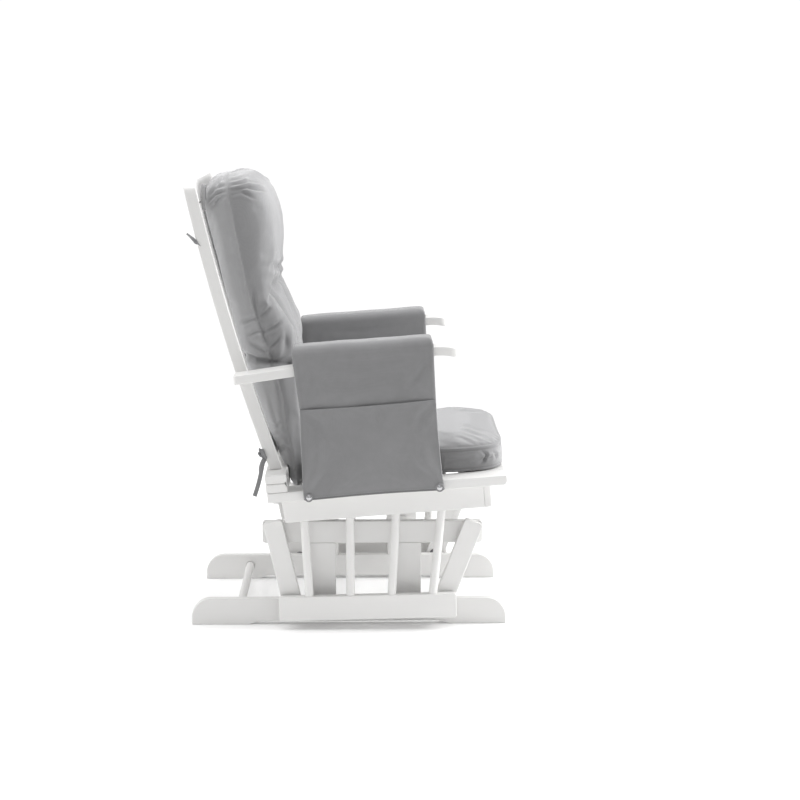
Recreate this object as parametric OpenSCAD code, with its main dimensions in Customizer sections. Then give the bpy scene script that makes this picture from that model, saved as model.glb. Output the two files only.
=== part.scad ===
// Glider nursery chair: a fixed base, four swing links and a gliding seat with cushions.
// The chair faces -Y, +Z is up and the floor is z = 0. Left and right are the sitter's.
// Side outlines are drawn as [forward, up] in millimetres, and forward is turned to -Y.

/* [Base] */
// Length of each base rail, front to back
base_l = 737; // [640:1:900]
// Height of each base rail
base_rail_h = 62; // [52:1:76]
// Half of the base's width over its rails
base_half_w = 232; // [190:1:280]
// Thickness of the boards in the base and in the side frames
board_t = 22; // [18:1:27]
// Radius of the rounded upper corners of the base rails
rail_corner_r = 45; // [20:1:50]
// Length of the foot left at each end under a base rail
foot_l = 136; // [90:1:170]
// Height of the relief between the two feet
foot_relief = 7; // [3:1:10]
// Width of each upright between base rail and top beam
upright_w = 73; // [55:1:90]
// Distance from the middle of the rear upright to the middle of the front one
upright_spacing = 199; // [160:1:240]
// Forward offset of the pair of uprights from the base's middle
upright_offset = 33; // [0:1:60]
// Height of the cross boards between the left and right uprights
stretcher_h = 60; // [40:1:80]
// Thickness of the cross boards between the uprights
stretcher_t = 20; // [16:1:25]
// Radius of the round rod that joins the rear ends of the base rails
rod_r = 10; // [8:0.5:12]
// Distance from the rear end of the base to the rod
rod_inset = 112; // [80:1:140]

/* [Glide linkage] */
// Distance between the two pivots of a swing link
link_l = 176; // [150:1:211]
// Distance between the rear and front pivots on the top beam
top_spacing = 451; // [440:1:480]
// Distance between the rear and front pivots on the gliding rail
low_spacing = 348; // [330:1:370]
// Forward place of the rear pivot on the top beam, from the base's middle
rear_top_f = -170; // [-190:1:-150]
// Height of the rear lower pivots above the floor where the chair comes to rest
low_pivot_z = 49.65; // [46:0.05:60]
// Angle of the rear links from vertical where the chair comes to rest
rest_angle = 13.2; // [10:0.1:17]
// Width of a swing link
link_w = 45; // [38:1:52]
// Thickness of a swing link
link_t = 20; // [16:1:24]
// Gap on each side of a swing link
link_gap = 5; // [4:0.5:8]
// Radius of the pivot bolts' shanks
bolt_r = 4; // [3:0.5:5]
// Radius of the domed pivot bolt heads
bolt_head_r = 14; // [11:0.5:15]
// Outer radius of the bearings pressed into the links
bearing_r = 11; // [10:0.5:13]
// Width of a bearing
bearing_w = 12; // [9:0.5:14]
// Radial clearance of a bolt in its bearing
running_gap = 0.04; // [0.02:0.01:0.08]
// Radial clearance at the front lower pivots, where the linkage closes
closing_gap = 4; // [3.5:0.5:5]

/* [Side frames] */
// Height of the gliding rail
glide_rail_h = 57; // [48:1:66]
// Length of the gliding rail past each lower pivot
glide_rail_over = 32; // [28:1:40]
// Number of spindles in each side frame
spindle_n = 4; // [3:1:5]
// Radius of a spindle
spindle_r = 10; // [8:0.5:12]
// Distance from the rear lower pivot to the rear spindle, on the rail
spindle_low_start = 39; // [35:1:50]
// Distance between spindles on the rail
spindle_low_step = 95.7; // [80:0.1:100]
// Distance from the apron's rear end to the rear spindle, under the apron
spindle_top_start = 43; // [40:1:60]
// Distance between spindles under the apron
spindle_top_step = 106; // [90:0.5:112]
// Height from the lower pivots to the apron's rear lower corner
apron_rise = 205; // [190:1:230]
// Angle between the gliding rail and the seat
seat_rake = 3.2; // [1:0.1:6]

/* [Seat frame] */
// Height of the side and front aprons
apron_h = 58; // [45:1:70]
// Length of the side aprons
apron_l = 461; // [440:1:500]
// Thickness of the front apron
front_apron_t = 16; // [12:1:20]
// Overhang of the seat side boards past the side frames
seat_overhang = 44; // [36:1:52]
// Width of a seat side board
seat_board_w = 75; // [70:1:80]
// Thickness of the seat boards
seat_board_t = 22; // [18:1:26]
// Length of the seat boards behind the apron's rear end
seat_over_rear = 34; // [30:1:50]
// Length of the seat boards past the front apron
seat_over_front = 37; // [25:1:50]
// Number of slats under the seat cushion
seat_slat_n = 6; // [5:1:7]
// Width of a seat slat
seat_slat_w = 42; // [36:1:46]
// Thickness of a seat slat
seat_slat_t = 12; // [10:1:14]
// Depth of the two boards stacked under the back
riser_d = 50; // [44:1:60]
// Thickness of each board stacked under the back
riser_t = 21; // [18:1:24]

/* [Back] */
// Distance of the stiles' outsides in from the side frames' outsides
back_inset = 22; // [14:1:30]
// Depth of the stiles and the crest rail, front to back
stile_d = 28; // [24:1:32]
// Place of the stiles' foot forward of the apron's rear end
stile_foot_a = -12; // [-16:1:-8]
// Lean of the stiles from square to the seat, at the foot
stile_lean = 15.7; // [12:0.1:20]
// Radius of the stiles' bend
stile_bend_r = 5200; // [4400:50:8000]
// Height of the crest's top above the apron's lower edge
crest_top_b = 797; // [720:1:900]
// Rise of the crest's hoop above the straight part of the stiles
hoop_rise = 70; // [64:1:180]
// Height of the crest rail at its middle
crest_h = 50; // [40:1:60]
// Number of slats in the back
back_slat_n = 5; // [3:1:6]
// Width of a back slat
back_slat_w = 38; // [30:1:46]
// Thickness of a back slat
back_slat_t = 9; // [8:1:12]
// Height of the lower back rail
back_rail_h = 42; // [34:1:50]
// Gap between the stacked boards and the lower back rail
back_rail_gap = 26; // [15:1:40]

/* [Arms] */
// Width of an arm
arm_w = 66; // [60:1:70]
// Thickness of an arm
arm_t = 21; // [18:1:24]
// Height of the arm's underside at its rear end, above the apron's lower edge
arm_rear_b = 334; // [300:1:380]
// Place of the arm's rear end, from the apron's rear end
arm_rear_a = -87; // [-92:1:-76]
// Length of the straight part of an arm
arm_l = 458; // [430:1:480]
// Slope of the arms against the seat
arm_slope = 3.9; // [2:0.1:6]
// Angle by which the arm's tip drops
arm_tip_drop = 21; // [8:1:24]
// Radius of the bend at the arm's tip
arm_tip_r = 120; // [90:5:160]

/* [Cushions and covers] */
// Place of the arm cover's rear edge, from the apron's rear end
cover_a = 51; // [46:1:60]
// Length of an arm cover
cover_l = 318; // [290:1:330]
// Height of an arm cover's top above the apron's lower edge
cover_top_b = 411; // [405:1:440]
// Thickness of the cover's side panels
cover_t = 5; // [4:0.5:6]
// Gap between a cover's side panels and the arm
cover_gap = 3; // [2:0.5:4]
// Height of the pocket on the outside of a cover
pocket_h = 210; // [180:1:230]
// Thickness of the pocket's front panel
pocket_t = 2; // [1.5:0.1:2.5]
// Radius of a snap's cap
snap_r = 7; // [6:0.5:8]
// Thickness of the seat cushion
seat_cushion_h = 74; // [60:1:85]
// Gap between the seat cushion and the arm covers
cushion_side_gap = 8; // [6:1:15]
// Thickness of the back cushion at its upper bulge
back_cushion_d = 160; // [140:1:170]
// Thickness of the back cushion at its waist
back_waist_d = 100; // [90:1:110]
// Width of the cushion ties
tie_w = 11; // [8:1:14]
// Length of a hanging tie
tie_l = 92; // [70:1:95]

/* [Hidden] */
$fn = 48;
LEFT = 1;
RIGHT = -1;
// A little extra for cuts that run right through
through = 1;
// Clearance round a bolt or rod in a fixed hole
hole_gap = 0.05;
// Gap between flat faces of pieces that move past each other
face_gap = 0.3;
// Gap that keeps a soft piece clear of the wood
soft_gap = 1;

// Places across the chair, as distances from its middle
rail_in = base_half_w - board_t;
link_in = base_half_w + link_gap;
link_out = link_in + link_t;
side_in = link_out + link_gap;
side_out = side_in + board_t;
seat_half_w = side_out + seat_overhang;
back_half_w = side_out - back_inset;
stile_in = back_half_w - board_t;
arm_out = back_half_w + arm_w;
cover_out = max(arm_out, seat_half_w) + cover_gap + cover_t;
cover_in = back_half_w - cover_gap - cover_t;
cushion_half_w = cover_in - cushion_side_gap;

// The four-bar linkage at rest, in [forward, up] from the base's middle on the floor
top_pivot_z = low_pivot_z + link_l * cos(rest_angle);
rear_top = [rear_top_f, top_pivot_z];
front_top = [rear_top_f + top_spacing, top_pivot_z];
rear_low = rear_top + link_l * [sin(rest_angle), -cos(rest_angle)];
diagonal = front_top - rear_low;
diagonal_l = norm(diagonal);
diagonal_cos = (diagonal_l ^ 2 + low_spacing ^ 2 - link_l ^ 2) / (2 * diagonal_l * low_spacing);
rail_tilt = atan2(diagonal[1], diagonal[0]) - acos(diagonal_cos);
front_low = rear_low + low_spacing * [cos(rail_tilt), sin(rail_tilt)];
front_angle = atan2(front_top[0] - front_low[0], front_top[1] - front_low[1]);

// Base heights and the ends of the top beam
beam_top_over = 26;
beam_h = 2 * beam_top_over;
beam_end_over = 31.5;
beam_low_z = top_pivot_z - beam_h / 2;
beam_corner_r = 8;
foot_slope_l = 22;
rod_z = 34;
rod_seat = 12;
stretcher_z = base_rail_h + 40;
upright_rear_f = upright_offset - upright_spacing / 2;
upright_front_f = upright_offset + upright_spacing / 2;

// Link ends and the depths of their pivots
link_top_over = 31;
link_low_over = 24;
link_corner_r = 9;
bolt_depth = 15;
bolt_head_t = 4;
spacer_r = 8;
rail_end_r = 6;

// The seat's own frame starts at the apron's rear lower corner, on the gliding rail's frame
apron_set_back = 11;
apron_end_slant = 6;
seat_low_b = apron_h;
seat_top_b = apron_h + seat_board_t;
seat_rear_a = -seat_over_rear;
seat_front_a = apron_l + front_apron_t + seat_over_front;
nose_r = 9;
nose_top_r = 3;
cross_rail_a = 18;
cross_rail_t = 20;
// The cross rail is shallower where the seat sits low, so that it clears the top beams
seat_low_z = rear_low[1] + apron_rise * cos(rail_tilt) - apron_set_back * sin(rail_tilt);
cross_rail_clear = 12;
cross_rail_h = min(34, apron_h + seat_low_z - beam_low_z - beam_h - cross_rail_clear);
cleat_w = 20;
cleat_h = 16;
cleat_b = apron_h - seat_slat_t - cleat_h;
slat_first_a = cross_rail_a + cross_rail_t + 12;
slat_last_a = apron_l - seat_slat_w - 8;
front_board_d = 70;
riser_a = seat_rear_a - 2;
riser_top_b = seat_top_b + 2 * riser_t;
riser_corner_r = 4;

// The bend of the back: a circle's arc through the stiles' foot, its centre up in front
bend_a = stile_foot_a + stile_bend_r * cos(stile_lean);
bend_b = riser_top_b + stile_bend_r * sin(stile_lean);
function back_a(b, r = stile_bend_r) = bend_a - sqrt(r ^ 2 - (bend_b - b) ^ 2);
hoop_b = crest_top_b - hoop_rise;
hoop_power = 7;
hoop_steps = 32;
bend_steps = 20;
back_rail_b = riser_top_b + back_rail_gap;
back_rail_t = 20;
back_slat_pitch = 2 * stile_in / (back_slat_n + 1);

// The arm's underside, as a line in the seat's frame
function arm_low_b(a) = arm_rear_b + (a - arm_rear_a) * tan(arm_slope);
arm_bolt_b = arm_low_b(back_a(arm_rear_b)) + arm_t / 2;
arm_bolt_place = [back_a(arm_bolt_b), arm_bolt_b];
arc_steps = 10;
arm_nose_r = 26;
arm_nose_turn = 80;
arm_cut_h = 300;
back_cut_d = 800;
arm_heel_r = 8;
arm_bolt_r = 3;
arm_bolt_head_r = 8;
arm_bolt_head_t = 3;
arm_bolt_reach = 34;
arm_mid_x = back_half_w + arm_w / 2;
arm_post_t = 22;
arm_post_w = 50;
arm_post_a = 292;
arm_spindle_r = 10;
arm_spindle_places = [118, 205];

// Covers, pockets, snaps and ties
cover_low_b = seat_low_b - 1;
cover_waist = 6;
cover_shoulder_r = 14;
pocket_inset = 4;
pocket_low_b = cover_low_b + 2;
snap_t = 2.5;
snap_stud_r = 2.5;
snap_in_a = 10;
snap_b = cover_low_b + 9;
snap_seat = 6;
snap_places = [cover_a + snap_in_a, cover_a + cover_l - snap_in_a];
tie_t = 1.6;
tie_foot_b = riser_top_b + 38;
tie_neck_b = hoop_b - 67;
tie_lean = 18;
tie_neck_turn = 40;
cushion_rear_a = cover_a + 10;
cushion_nose_r = 30;
back_foot_d = 40;

// ---- Frames and outlines -------------------------------------------------------------

// Extrudes a side outline across the chair, from x to x + t
module across(x, t) translate([x + t, 0, 0]) rotate([90, 0, -90]) linear_extrude(t) children();

// The same on the left (side 1) or the right (side -1), x being the distance from the middle
module on_side(side, x, t) across(side > 0 ? x : -x - t, t) children();

// A round pin or hole across the chair at [forward, up]
module pin(side, p, x, t, r)
  translate([side * (x + t / 2), -p[0], p[1]]) rotate([0, 90, 0]) cylinder(h = t, r = r, center = true);

// The gliding rail's frame: its origin is the rear lower pivot
module glide_frame() translate([0, -rear_low[0], rear_low[1]]) rotate([-rail_tilt, 0, 0]) children();

// The seat's frame: its origin is the apron's rear lower corner
module seat_frame()
  glide_frame() translate([0, apron_set_back, apron_rise]) rotate([-seat_rake, 0, 0]) children();

// A rectangle with rounded corners, from its lower rear corner
module rounded(l, h, r) {
  translate([0, r]) square([l, h - 2 * r]);
  translate([r, 0]) square([l - 2 * r, h]);
  for (a = [r, l - r], b = [r, h - r]) translate([a, b]) circle(r);
}

// ---- Base ----------------------------------------------------------------------------

module base_rail_outline() {
  foot_end = base_l / 2 - foot_l;
  corner_f = base_l / 2 - rail_corner_r;
  corner_z = base_rail_h - rail_corner_r;
  difference() {
    union() {
      translate([-base_l / 2, 0]) square([base_l, corner_z]);
      translate([-corner_f, 0]) square([2 * corner_f, base_rail_h]);
      for (end = [-1, 1]) intersection() {
        translate([end * corner_f, corner_z]) circle(rail_corner_r, $fn = 96);
        translate([-base_l / 2, corner_z]) square([base_l, rail_corner_r]);
      }
    }
    polygon([
      [-foot_end, -through], [-foot_end, 0], [-foot_end + foot_slope_l, foot_relief],
      [foot_end - foot_slope_l, foot_relief], [foot_end, 0], [foot_end, -through]
    ]);
  }
}

module base_rail(side) color("white") difference() {
  on_side(side, rail_in, board_t) base_rail_outline();
  pin(side, [rod_inset - base_l / 2, rod_z], rail_in - through, rod_seat + through, rod_r + hole_gap);
}

module upright(side, f) color("white")
  on_side(side, rail_in, board_t) translate([f - upright_w / 2, base_rail_h])
    square([upright_w, beam_low_z - base_rail_h]);

module top_beam(side) color("white") difference() {
  on_side(side, rail_in, board_t) translate([rear_top_f - beam_end_over, beam_low_z])
    rounded(top_spacing + 2 * beam_end_over, beam_h, beam_corner_r);
  for (p = [rear_top, front_top])
    pin(side, p, rail_in - through, board_t + 2 * through, bolt_r + hole_gap);
}

module stretcher(f) color("white")
  across(-rail_in, 2 * rail_in) translate([f - stretcher_t / 2, stretcher_z])
    square([stretcher_t, stretcher_h]);

module rear_rod() color("white")
  pin(LEFT, [rod_inset - base_l / 2, rod_z], -rail_in - rod_seat, 2 * (rail_in + rod_seat), rod_r);

module top_pivot_bolts() color("dimgray")
  for (side = [LEFT, RIGHT], p = [rear_top, front_top]) {
    pin(side, p, rail_in - bolt_head_t, bolt_head_t, bolt_head_r);
    pin(side, p, rail_in, board_t + link_gap + bolt_depth, bolt_r);
  }

module top_pivot_spacers() color("silver")
  for (side = [LEFT, RIGHT], p = [rear_top, front_top]) difference() {
    pin(side, p, base_half_w, link_gap - face_gap, spacer_r);
    pin(side, p, base_half_w - through, link_gap + 2 * through, bolt_r + hole_gap);
  }

// ---- Swing links ---------------------------------------------------------------------

// A link hangs from its top pivot at an angle from vertical, with a bored seat for each bearing
module link(side, top, angle, low_bore) color("white") {
  low = top + link_l * [sin(angle), -cos(angle)];
  difference() {
    on_side(side, link_in, link_t) translate(top) rotate(angle)
      translate([-link_w / 2, -link_l - link_low_over])
        rounded(link_w, link_l + link_low_over + link_top_over, link_corner_r);
    pin(side, top, link_in - through, bearing_w + through, bearing_r);
    pin(side, top, link_in, bolt_depth + through, bolt_r + through);
    pin(side, low, link_out - bearing_w, bearing_w + through, bearing_r);
    pin(side, low, link_in - through, link_t + through, low_bore);
  }
}

// The two bearings of a link, each a ring round its bolt
module link_bearings(side, top, angle, low_bore) {
  low = top + link_l * [sin(angle), -cos(angle)];
  difference() {
    pin(side, top, link_in, bearing_w, bearing_r);
    pin(side, top, link_in - through, bearing_w + 2 * through, bolt_r + running_gap);
  }
  difference() {
    pin(side, low, link_out - bearing_w, bearing_w, bearing_r);
    pin(side, low, link_out - bearing_w - through, bearing_w + 2 * through, low_bore);
  }
}

module rear_link_bearings() color("silver")
  for (side = [LEFT, RIGHT]) link_bearings(side, rear_top, rest_angle, bolt_r + running_gap);

module front_link_bearings() color("silver")
  for (side = [LEFT, RIGHT]) link_bearings(side, front_top, -front_angle, bolt_r + closing_gap);

// ---- Gliding side frames -------------------------------------------------------------

module glide_rail(side) color("white") difference() {
  glide_frame() on_side(side, side_in, board_t) translate([-glide_rail_over, -glide_rail_h / 2])
    rounded(low_spacing + 2 * glide_rail_over, glide_rail_h, rail_end_r);
  for (p = [rear_low, front_low])
    pin(side, p, side_in - through, bolt_depth + 2 * through, bolt_r + hole_gap);
}

module low_pivot_bolts() color("dimgray")
  for (side = [LEFT, RIGHT], p = [rear_low, front_low]) {
    pin(side, p, link_in - face_gap - bolt_head_t, bolt_head_t, bolt_head_r);
    pin(side, p, link_in - face_gap, face_gap + link_t + link_gap + bolt_depth, bolt_r);
  }

module low_pivot_spacers() color("silver")
  for (side = [LEFT, RIGHT], p = [rear_low, front_low]) difference() {
    pin(side, p, link_out + face_gap, link_gap - face_gap, spacer_r);
    pin(side, p, link_out - through, link_gap + 2 * through, bolt_r + hole_gap);
  }

// Spindles fan out from the rail up to the apron and are cut off flush with both
module spindles(side) color("white")
  for (i = [0:spindle_n - 1]) {
    foot = [spindle_low_start + i * spindle_low_step, glide_rail_h / 2];
    reach = spindle_top_start + i * spindle_top_step;
    head = [reach * cos(seat_rake) - apron_set_back, apron_rise + reach * sin(seat_rake)];
    lean = atan2(head[0] - foot[0], head[1] - foot[1]);
    over = 2 * spindle_r;
    glide_frame() intersection() {
      translate([side * (side_in + board_t / 2), -foot[0], foot[1]]) rotate([lean, 0, 0])
        translate([0, 0, -over]) cylinder(h = norm(head - foot) + 2 * over, r = spindle_r);
      on_side(side, side_in, board_t) polygon([
        [-apron_set_back, foot[1]], [-apron_set_back, apron_rise],
        [apron_l * cos(seat_rake) - apron_set_back, apron_rise + apron_l * sin(seat_rake)],
        [apron_l * cos(seat_rake) - apron_set_back, foot[1]]
      ]);
    }
  }

// ---- Seat frame ----------------------------------------------------------------------

module apron(side) color("white") seat_frame() on_side(side, side_in, board_t)
  polygon([[0, 0], [apron_l, 0], [apron_l, apron_h], [-apron_end_slant, apron_h]]);

module front_apron() color("white") seat_frame()
  across(-side_out, 2 * side_out) translate([apron_l, 0]) square([front_apron_t, apron_h]);

module rear_cross_rail() color("white") seat_frame()
  across(-side_in, 2 * side_in) translate([cross_rail_a, apron_h - cross_rail_h])
    square([cross_rail_t, cross_rail_h]);

module slat_cleats() color("white") seat_frame()
  for (side = [LEFT, RIGHT]) on_side(side, side_in - cleat_w, cleat_w)
    translate([cross_rail_a + cross_rail_t, cleat_b])
      square([apron_l - cross_rail_a - cross_rail_t, cleat_h]);

module seat_slats() color("white") seat_frame()
  for (i = [0:seat_slat_n - 1])
    across(-side_in, 2 * side_in)
      translate([slat_first_a + i * (slat_last_a - slat_first_a) / (seat_slat_n - 1), cleat_b + cleat_h])
        square([seat_slat_w, seat_slat_t]);

// Side and front boards share this outline: the nose is rounded, more below than above
module seat_board_outline(start_a) {
  translate([start_a, seat_low_b]) square([seat_front_a - nose_r - start_a, seat_board_t]);
  translate([seat_front_a - nose_r, seat_low_b + nose_r])
    square([nose_r, seat_board_t - nose_r - nose_top_r]);
  translate([seat_front_a - nose_r, seat_top_b - nose_top_r]) square([nose_r - nose_top_r, nose_top_r]);
  translate([seat_front_a - nose_top_r, seat_top_b - nose_top_r]) circle(nose_top_r);
  intersection() {
    translate([seat_front_a - nose_r, seat_low_b + nose_r]) circle(nose_r, $fn = 64);
    translate([seat_front_a - nose_r, seat_low_b]) square(nose_r);
  }
}

module seat_board(side) color("white") seat_frame() difference() {
  on_side(side, seat_half_w - seat_board_w, seat_board_w) seat_board_outline(seat_rear_a);
  for (a = snap_places)
    pin(side, [a, snap_b], seat_half_w - snap_seat, snap_seat + through, snap_stud_r + hole_gap);
}

module seat_board_front() color("white") seat_frame()
  across(seat_board_w - seat_half_w, 2 * (seat_half_w - seat_board_w))
    seat_board_outline(seat_front_a - front_board_d);

module riser(level) color("white") seat_frame()
  across(-seat_half_w, 2 * seat_half_w) translate([riser_a, seat_top_b + level * riser_t])
    rounded(riser_d, riser_t, riser_corner_r);

// ---- Back ----------------------------------------------------------------------------

// Strip of the back's bend, d deep front to back and centred on the stiles, between two heights
module bend_strip(d, low, high) {
  r_out = stile_bend_r + d / 2;
  r_in = stile_bend_r - d / 2;
  polygon(concat(
    [for (i = [0:bend_steps]) let (b = low + i * (high - low) / bend_steps) [back_a(b, r_out), b]],
    [for (i = [bend_steps:-1:0]) let (b = low + i * (high - low) / bend_steps) [back_a(b, r_in), b]]
  ));
}

// Front outline of the hoop, [across, up]: straight stiles under a rounded crest
module hoop(half_w, rise, low) polygon(concat(
  [[half_w, low]],
  [for (i = [0:hoop_steps]) let (t = 180 * i / hoop_steps)
    [half_w * sign(cos(t)) * abs(cos(t)) ^ (2 / hoop_power), hoop_b + rise * abs(sin(t)) ^ (2 / hoop_power)]],
  [[-half_w, low]]
));

// Extrudes a front outline from back to front through the whole back
module through_back()
  translate([0, back_cut_d / 2, 0]) rotate([90, 0, 0]) linear_extrude(back_cut_d) children();

module stile(side) color("white") seat_frame() difference() {
  on_side(side, stile_in, board_t) bend_strip(stile_d, riser_top_b, hoop_b);
  pin(side, arm_bolt_place, stile_in - through, board_t + 2 * through, arm_bolt_r + hole_gap);
}

module crest_rail() color("white") seat_frame() intersection() {
  across(-back_half_w, 2 * back_half_w) bend_strip(stile_d, hoop_b, crest_top_b);
  through_back() difference() {
    hoop(back_half_w, hoop_rise, hoop_b);
    hoop(stile_in, hoop_rise - crest_h, hoop_b - through);
  }
}

module lower_back_rail() color("white") seat_frame()
  across(-stile_in, 2 * stile_in) bend_strip(back_rail_t, back_rail_b, back_rail_b + back_rail_h);

module back_slats() color("white") seat_frame()
  for (i = [1:back_slat_n]) intersection() {
    across(-stile_in + i * back_slat_pitch - back_slat_w / 2, back_slat_w)
      bend_strip(back_slat_t, back_rail_b + back_rail_h, crest_top_b);
    through_back() hoop(stile_in, hoop_rise - crest_h, riser_top_b);
  }

// ---- Arms ----------------------------------------------------------------------------

// Points of an arc about [a, b], from one angle to another
function arc(a, b, r, from, to) =
  [for (i = [0:arc_steps]) let (t = from + (to - from) * i / arc_steps) [a + r * cos(t), b + r * sin(t)]];

// The arm's side outline along its own slope: straight, then bent down to a rounded tip
module arm_outline() translate([arm_rear_a, arm_rear_b]) rotate(arm_slope) {
  tip = arm_tip_r + arm_t / 2;
  polygon(concat(
    [[0, 0]],
    arc(arm_l, -arm_tip_r, arm_tip_r, 90, 90 - arm_tip_drop),
    arc(arm_l + tip * sin(arm_tip_drop), tip * cos(arm_tip_drop) - arm_tip_r, arm_t / 2,
        -arm_nose_turn - arm_tip_drop, arm_nose_turn - arm_tip_drop),
    arc(arm_l, -arm_tip_r, arm_tip_r + arm_t, 90 - arm_tip_drop, 90),
    [[0, arm_t]]
  ));
}

// The arm seen from above, [across, forward from its rear end], with rounded corners
module arm_plan() {
  reach = arm_l + (arm_tip_r + arm_t) * sin(arm_tip_drop) + arm_t / 2;
  polygon(concat(
    arc(arm_heel_r, arm_heel_r, arm_heel_r, 180, 270),
    arc(arm_w - arm_heel_r, arm_heel_r, arm_heel_r, 270, 360),
    arc(arm_w - arm_nose_r, reach - arm_nose_r, arm_nose_r, 0, 90),
    arc(arm_nose_r, reach - arm_nose_r, arm_nose_r, 90, 180)
  ));
}

module arm(side) color("white") seat_frame() difference() {
  intersection() {
    on_side(side, back_half_w, arm_w) arm_outline();
    translate([side > 0 ? back_half_w : -arm_out, -arm_rear_a, arm_rear_b - arm_cut_h / 3])
      linear_extrude(arm_cut_h) mirror([0, 1]) arm_plan();
  }
  pin(side, arm_bolt_place, back_half_w - through, arm_bolt_reach + through - board_t,
      arm_bolt_r + hole_gap);
}

module arm_bolts() color("silver") seat_frame()
  for (side = [LEFT, RIGHT]) {
    pin(side, arm_bolt_place, stile_in - arm_bolt_head_t, arm_bolt_head_t, arm_bolt_head_r);
    pin(side, arm_bolt_place, stile_in, arm_bolt_reach - through, arm_bolt_r);
  }

// The space between seat board and arm, which trims the arm's supports flush with both
module under_arm(a0, a1)
  polygon([[a0, seat_top_b], [a1, seat_top_b], [a1, arm_low_b(a1)], [a0, arm_low_b(a0)]]);

module arm_post(side) color("white") seat_frame()
  on_side(side, arm_mid_x - arm_post_t / 2, arm_post_t) under_arm(arm_post_a, arm_post_a + arm_post_w);

module arm_spindles() color("white") seat_frame()
  for (side = [LEFT, RIGHT], a = arm_spindle_places) intersection() {
    translate([side * arm_mid_x, -a, seat_top_b]) cylinder(h = arm_rear_b, r = arm_spindle_r);
    on_side(side, back_half_w, arm_w) under_arm(a - 2 * arm_spindle_r, a + 2 * arm_spindle_r);
  }

// ---- Cushions, covers and their fastenings -------------------------------------------

// A box cushion with rounded front edges, standing on the seat boards
module seat_cushion() color("gray") seat_frame()
  across(-cushion_half_w, 2 * cushion_half_w)
    translate([cushion_rear_a, seat_top_b + soft_gap / 2])
      rounded(seat_front_a - cushion_rear_a, seat_cushion_h, cushion_nose_r);

// A tall cushion in front of the stiles: full above, drawn in at the waist, full at the foot
module back_cushion() color("gray") seat_frame() {
  low = riser_top_b + soft_gap;
  top = crest_top_b + 17;
  back = stile_d / 2 + soft_gap;
  waist_b = seat_top_b + 0.62 * (crest_top_b - seat_top_b);
  front_a = cushion_rear_a - 5;
  across(-cushion_half_w, 2 * cushion_half_w) polygon(concat(
    [[front_a - back_foot_d, seat_top_b + soft_gap], [front_a - 4, seat_top_b + soft_gap]],
    [[front_a, arm_rear_b], [back_a(waist_b) + back + back_waist_d, waist_b]],
    [[back_a(waist_b + 100) + back + 0.9 * back_cushion_d, waist_b + 100]],
    [[back_a(top - 130) + back + back_cushion_d, top - 130]],
    [[back_a(top) + back + 0.98 * back_cushion_d, top - 60]],
    [[back_a(top) + back + 0.83 * back_cushion_d, top - 20]],
    [[back_a(top) + back + 0.5 * back_cushion_d, top]],
    [[back_a(top) + back + 0.3 * back_cushion_d, top - 3]],
    [[back_a(top - 38) + back + 1, top - 38]],
    [for (i = [bend_steps:-1:0]) let (b = low + i * (top - 60 - low) / bend_steps)
      [back_a(b) + back + 1, b]],
    [[front_a - back_foot_d, low]]
  ));
}

// Side outline of an arm cover: drawn in a little at mid height, with rounded shoulders
module cover_outline() {
  mid_b = (cover_low_b + cover_top_b) / 2;
  end_a = cover_a + cover_l;
  shoulder_b = cover_top_b - cover_shoulder_r;
  polygon([
    [cover_a, cover_low_b], [end_a, cover_low_b], [end_a - cover_waist, mid_b], [end_a, shoulder_b],
    [end_a - cover_shoulder_r, cover_top_b], [cover_a + cover_shoulder_r, cover_top_b],
    [cover_a, shoulder_b], [cover_a + cover_waist, mid_b]
  ]);
}

// An arm cover is a sleeve over the arm: padded on top, with a panel down each side
module arm_cover(side) color("gray") seat_frame() difference() {
  on_side(side, cover_in, cover_out - cover_in) cover_outline();
  on_side(side, cover_in + cover_t, cover_out - cover_in - 2 * cover_t) polygon([
    [cover_a - through, -through], [cover_a + cover_l + through, -through],
    [cover_a + cover_l + through, arm_low_b(cover_a + cover_l + through) + arm_t + 2 * soft_gap],
    [cover_a - through, arm_low_b(cover_a - through) + arm_t + 2 * soft_gap]
  ]);
  on_side(side, cover_in - through, cover_t + 2 * through)
    translate([cover_a - through, 0]) square([cover_l + 2 * through, seat_top_b + soft_gap]);
  for (a = snap_places)
    pin(side, [a, snap_b], cover_out - cover_t - through, cover_t + 2 * through, snap_stud_r + hole_gap);
}

// The pocket lies flat on the outside of the cover, between the two snaps' corners
module pocket(side) color("gray") seat_frame() difference() {
  on_side(side, cover_out, pocket_t)
    translate([cover_a + cover_waist + pocket_inset, pocket_low_b])
      square([cover_l - 2 * (cover_waist + pocket_inset), pocket_h]);
  for (a = snap_places)
    pin(side, [a, snap_b], cover_out - through, pocket_t + 2 * through, snap_stud_r + hole_gap);
}

// Each snap has a cap outside the pocket and a stud that reaches into the seat board's edge
module cover_snaps() color("silver") seat_frame()
  for (side = [LEFT, RIGHT], a = snap_places) {
    pin(side, [a, snap_b], cover_out + pocket_t, snap_t, snap_r);
    pin(side, [a, snap_b], seat_half_w - snap_seat + through,
        cover_out + pocket_t - seat_half_w + snap_seat - through, snap_stud_r);
  }

// Four tie ends, each a tape seen flat from the side: two hang behind the stiles' feet and
// two stand behind the shoulders
module cushion_ties() color("dimgray") seat_frame()
  for (side = [LEFT, RIGHT]) {
    on_side(side, back_half_w - tie_t - through, tie_t)
      translate([back_a(tie_foot_b) - stile_d / 2 - soft_gap - tie_w, tie_foot_b])
        rotate(-seat_rake - rail_tilt - tie_lean) translate([0, -tie_l]) square([tie_w, tie_l]);
    on_side(side, back_half_w - tie_t - through, tie_t)
      translate([back_a(tie_neck_b) - stile_d / 2 - soft_gap - tie_w, tie_neck_b])
        rotate(tie_neck_turn) translate([0, -through]) square([tie_w, tie_l / 4]);
  }

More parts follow.
